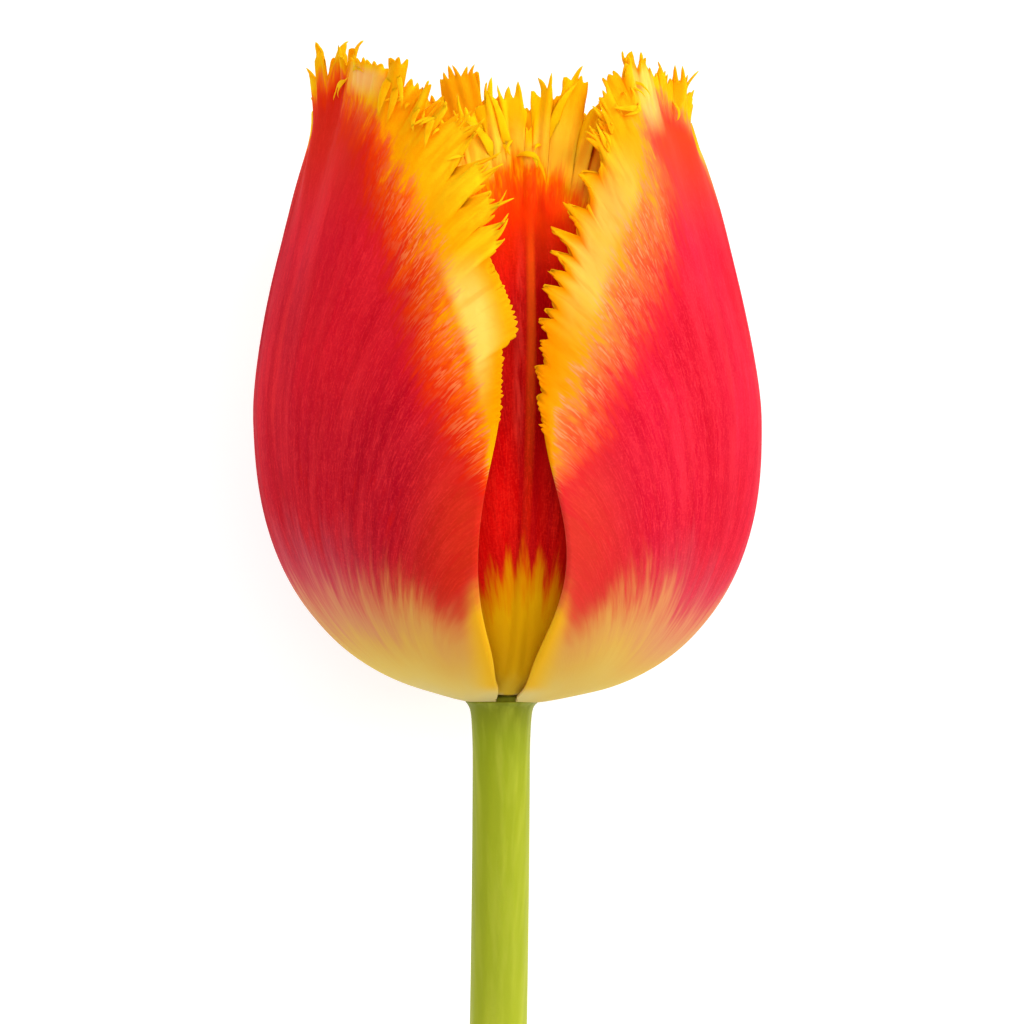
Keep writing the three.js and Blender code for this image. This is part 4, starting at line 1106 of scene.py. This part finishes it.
pistil = {
    "foot": 2.9, "height": 17, "radius": 2.35, "ribs": 0.1, "stigmaRadius": 3.5, "stigmaHeight": 2.1,
    "lobeValley": 0.55, "gap": 0.3,
    # half outlines: share of the radius, share of the height
    "ovaryLine": [[0, 0], [0.66, 0], [0.86, 0.14], [1, 0.35], [0.98, 0.6], [0.86, 0.82], [0.8, 1], [0, 1]],
    "stigmaLine": [[0, 0], [0.5, 0], [0.95, -0.2], [1, 0.1], [0.8, 0.65], [0.45, 1], [0.15, 0.8], [0, 0.78]],
}
stamen = {
    "count": 6, "footRadius": 2.5, "topRadius": 4.9, "length": 8.5, "antherLength": 10.5,
    "antherRadius": 1.15, "flatness": 0.8, "grooves": 0.16,
    "filamentLine": [[0, 0], [0.55, 0], [0.62, 1.2], [0.42, 5], [0.24, 8.5], [0, 8.5]],  # mm
    "antherLine": [[0, 0], [0.5, 0.03], [0.9, 0.14], [1, 0.4], [0.95, 0.7], [0.7, 0.9], [0.35, 0.99], [0, 1]],
}


def fleshMaterial(name, stops, scale, rough, bumpHeight, scatter):
    # soft plant flesh, mottled by its cells: colour and a fine relief from one noise, scale cells to a metre
    material, tree = newMaterial(name)
    place = addNode(tree, "TexCoord").outputs["Object"]
    cells = addNode(tree, "TexNoise", {"Vector": place, "Scale": scale, "Detail": 4.0}).outputs["Fac"]
    colour = addNode(tree, "ValToRGB", {0: cells}, stops=stops).outputs[0]
    bump = addNode(tree, "Bump", {"Strength": 0.5, "Distance": bumpHeight, "Height": cells}).outputs[0]
    shader = addNode(tree, "BsdfPrincipled", {
        "Base Color": colour, "Roughness": rough, "Normal": bump, "Subsurface Weight": scatter,
        "Subsurface Radius": (1.0, 0.8, 0.4), "Subsurface Scale": 0.001, "IOR": 1.42,
    }).outputs[0]
    addNode(tree, "OutputMaterial", {"Surface": shader})
    return material


# The ovary and the filaments are smooth and wet, the stigma is velvety, and the pollen is a dry dark powder.
# Each has its colours, cells to a metre, roughness, depth of relief in metres and share of scattered light.
flesh = {
    "ovary_flesh": ([(0.3, "#9aa850"), (0.7, "#bcc474")], 900, 0.42, 0.00006, 0.25),
    "stigma_papillae": ([(0.3, "#e2cf86"), (0.7, "#f2e8b4")], 2400, 0.75, 0.00012, 0.2),
    "filament_flesh": ([(0.3, "#cfae30"), (0.7, "#e2cc58")], 1200, 0.45, 0.00005, 0.25),
    "pollen_coat": ([(0.3, "#1c1018"), (0.62, "#33202c"), (0.8, "#4a3440")], 3200, 0.9, 0.00012, 0.0),
}
ovarySkin, stigmaSkin, filamentSkin, antherSkin = (
    fleshMaterial(name, *values) for name, values in flesh.items()
)


def profileCurve(points, count):
    # the profile's points joined, read evenly by length, and averaged with their neighbours three times
    p = np.array(points, float)
    length = np.concatenate([[0], np.cumsum(np.hypot(*np.diff(p, axis=0).T))])
    at = np.linspace(0, length[-1], count)
    fineLine = np.stack([np.interp(at, length, p[:, 0]), np.interp(at, length, p[:, 1])], axis=-1)
    for _ in range(3):
        fineLine[1:-1] = (fineLine[:-2] + 2 * fineLine[1:-1] + fineLine[2:]) / 4
    return fineLine[:, 0], fineLine[:, 1]


def ovaryShape(p):
    # three rounded corners with a groove between them: radius times 1 + ribs cos(3a), minus a narrow seam
    angle = np.arctan2(p[:, 0], p[:, 2])
    seam = 0.06 * np.exp(-((np.abs(np.cos(1.5 * angle)) / 0.12) ** 2))
    reachOut = pistil["radius"] * (1 + pistil["ribs"] * np.cos(3 * angle) - seam)
    level = pistil["foot"] + p[:, 1] * pistil["height"]
    return np.stack([p[:, 0] * reachOut, level, p[:, 2] * reachOut], axis=-1)


def stigmaShape(p):
    # three lobes, |cos(1.5 a)|^0.7 out from the middle, with a furrow down each and a wavy rim
    angle = np.arctan2(p[:, 0], p[:, 2])
    size = np.hypot(p[:, 0], p[:, 2])
    lobeShape = np.abs(np.cos(1.5 * angle)) ** 0.7
    reachOut = pistil["stigmaRadius"] * (1 - size * (1 - pistil["lobeValley"]) * (1 - lobeShape))
    furrow = 0.22 * np.exp(-((np.sin(1.5 * angle) / 0.16) ** 2))
    furrow = furrow * smoothStep(size, 0.2, 0.7) * (p[:, 1] > 0.2)
    frill = 0.05 * np.sin(21 * angle) * smoothStep(size, 0.6, 1.0)
    foot = pistil["foot"] + pistil["height"] + pistil["gap"]
    level = np.where(p[:, 1] < 0, p[:, 1] * lobeShape, p[:, 1]) - furrow + frill
    return np.stack([p[:, 0] * reachOut, foot + level * pistil["stigmaHeight"], p[:, 2] * reachOut], axis=-1)


points, faces = turnedPiece(*profileCurve(pistil["ovaryLine"], 90), 72, ovaryShape)
makePiece("pistil_ovary", points, faces, "ovary", ovarySkin)
points, faces = turnedPiece(*profileCurve(pistil["stigmaLine"], 60), 120, stigmaShape)
makePiece("pistil_stigma", points, faces, "stigma", stigmaSkin)


def stamenPlace(p, turn):
    # leaned out from the pistil about its foot, then turned round the axis
    lean = math.atan((stamen["topRadius"] - stamen["footRadius"]) / stamen["length"])
    cos, sin = math.cos(lean), math.sin(lean)
    x, y, z = p.T
    y, z = y * cos - z * sin + pistil["foot"], y * sin + z * cos + stamen["footRadius"]
    cos, sin = math.cos(turn), math.sin(turn)
    return np.stack([x * cos + z * sin, y, -x * sin + z * cos], axis=-1)


def antherShape(p):
    # four long lobes, 1 + grooves cos(4a), split open by two seams and wavy along their length
    angle = np.arctan2(p[:, 0], p[:, 2])
    wrinkle = 0.03 * np.sin(26 * p[:, 1] + 3 * np.sin(2 * angle))
    reachOut = stamen["antherRadius"] * (1 + stamen["grooves"] * np.cos(4 * angle) + wrinkle)
    level = stamen["length"] + pistil["gap"] + p[:, 1] * stamen["antherLength"]
    return np.stack([p[:, 0] * reachOut, level, p[:, 2] * reachOut * stamen["flatness"]], axis=-1)


filamentLine = profileCurve(stamen["filamentLine"], 50)
antherLine = profileCurve(stamen["antherLine"], 60)
for k in range(stamen["count"]):
    turn = 2 * math.pi * (k + 0.5) / stamen["count"]
    points, faces = turnedPiece(*filamentLine, 20, lambda p: stamenPlace(p, turn))
    makePiece(f"stamen_filament_{k + 1}", points, faces, f"filament_{k + 1}", filamentSkin)
    points, faces = turnedPiece(*antherLine, 48, lambda p: stamenPlace(antherShape(p), turn))
    makePiece(f"stamen_anther_{k + 1}", points, faces, f"anther_{k + 1}", antherSkin)
print("tulip: pistil and stamens made")

studio = {
    "frameWidth": 112.64,  # mm across the picture at the flower's axis
    "distance": 700,
    "aimX": 0.66,
    "aimHeight": 21.0,
    "sensor": 36,
    "floorHalf": 3.0,  # metres, as the lamps' places and sizes
    "keyLight": {"place": (0.95, 0.35, 0.8), "aim": (0, 0.02, 0.03), "size": 0.9, "power": 11.0,
                 "tint": (1.0, 0.99, 0.97)},
    "topLight": {"place": (0.0, 0.2, 1.6), "aim": (0, 0, 0.03), "size": 1.4, "power": 8.0,
                 "tint": (1.0, 1.0, 1.0)},
    "surround": 0.62,  # brightness of the white all round
}


def floorMaterial():
    # White opal acrylic sheet over a light box, matt. It glows a little, so shadows on it stay faint.
    material, tree = newMaterial("opal_acrylic")
    place = addNode(tree, "TexCoord").outputs["Object"]
    cloud = addNode(tree, "TexNoise", {"Vector": place, "Scale": 3.0, "Detail": 2.0}).outputs["Fac"]
    colour = addNode(tree, "ValToRGB", {0: cloud}, stops=[(0.0, "#bcbcbc"), (1.0, "#c4c4c4")]).outputs[0]
    shader = addNode(tree, "BsdfPrincipled", {
        "Base Color": colour, "Roughness": 0.9, "Specular IOR Level": 0.04,
        "Emission Color": linear("#ffffff"), "Emission Strength": 0.66,
    })
    addNode(tree, "OutputMaterial", {"Surface": shader.outputs[0]})
    return material


half = studio["floorHalf"]
floorMesh = bpy.data.meshes.new("floor_sheet")
corners = [(-half, -half, 0), (half, -half, 0), (half, half, 0), (-half, half, 0)]
floorMesh.from_pydata(corners, [], [(0, 1, 2, 3)])
floorMesh.materials.append(floorMaterial())
floor = bpy.data.objects.new("floor_sheet", floorMesh)
bpy.context.scene.collection.objects.link(floor)


def addLamp(name, lamp):
    # a round soft light at its place, turned to what it aims at
    light = bpy.data.lights.new(name, "AREA")
    light.shape, light.size, light.energy, light.color = "DISK", lamp["size"], lamp["power"], lamp["tint"]
    stand = bpy.data.objects.new(name, light)
    stand.location = lamp["place"]
    toAim = Vector(lamp["aim"]) - Vector(lamp["place"])
    stand.rotation_euler = toAim.to_track_quat("-Z", "Y").to_euler()
    bpy.context.scene.collection.objects.link(stand)


addLamp("key_light", studio["keyLight"])
addLamp("top_light", studio["topLight"])
world = bpy.data.worlds.new("studio_white")
world.use_nodes = True
surround = world.node_tree.nodes["Background"].inputs
surround["Color"].default_value = (1.0, 1.0, 1.0, 1.0)
surround["Strength"].default_value = studio["surround"]
bpy.context.scene.world = world
bpy.context.scene.view_settings.view_transform = "Standard"

cameraData = bpy.data.cameras.new("studio_camera")
cameraData.sensor_width = studio["sensor"]
cameraData.lens = studio["sensor"] * studio["distance"] / studio["frameWidth"]
camera = bpy.data.objects.new("studio_camera", cameraData)
eye = layBack(np.array([studio["aimX"], studio["aimHeight"], studio["distance"]], float))
camera.location = eye.tolist()
camera.rotation_euler = Euler((tilt, 0, 0))
cameraData.clip_start, cameraData.clip_end = 0.01, 20
bpy.context.scene.collection.objects.link(camera)
bpy.context.scene.camera = camera
print("tulip: studio ready")
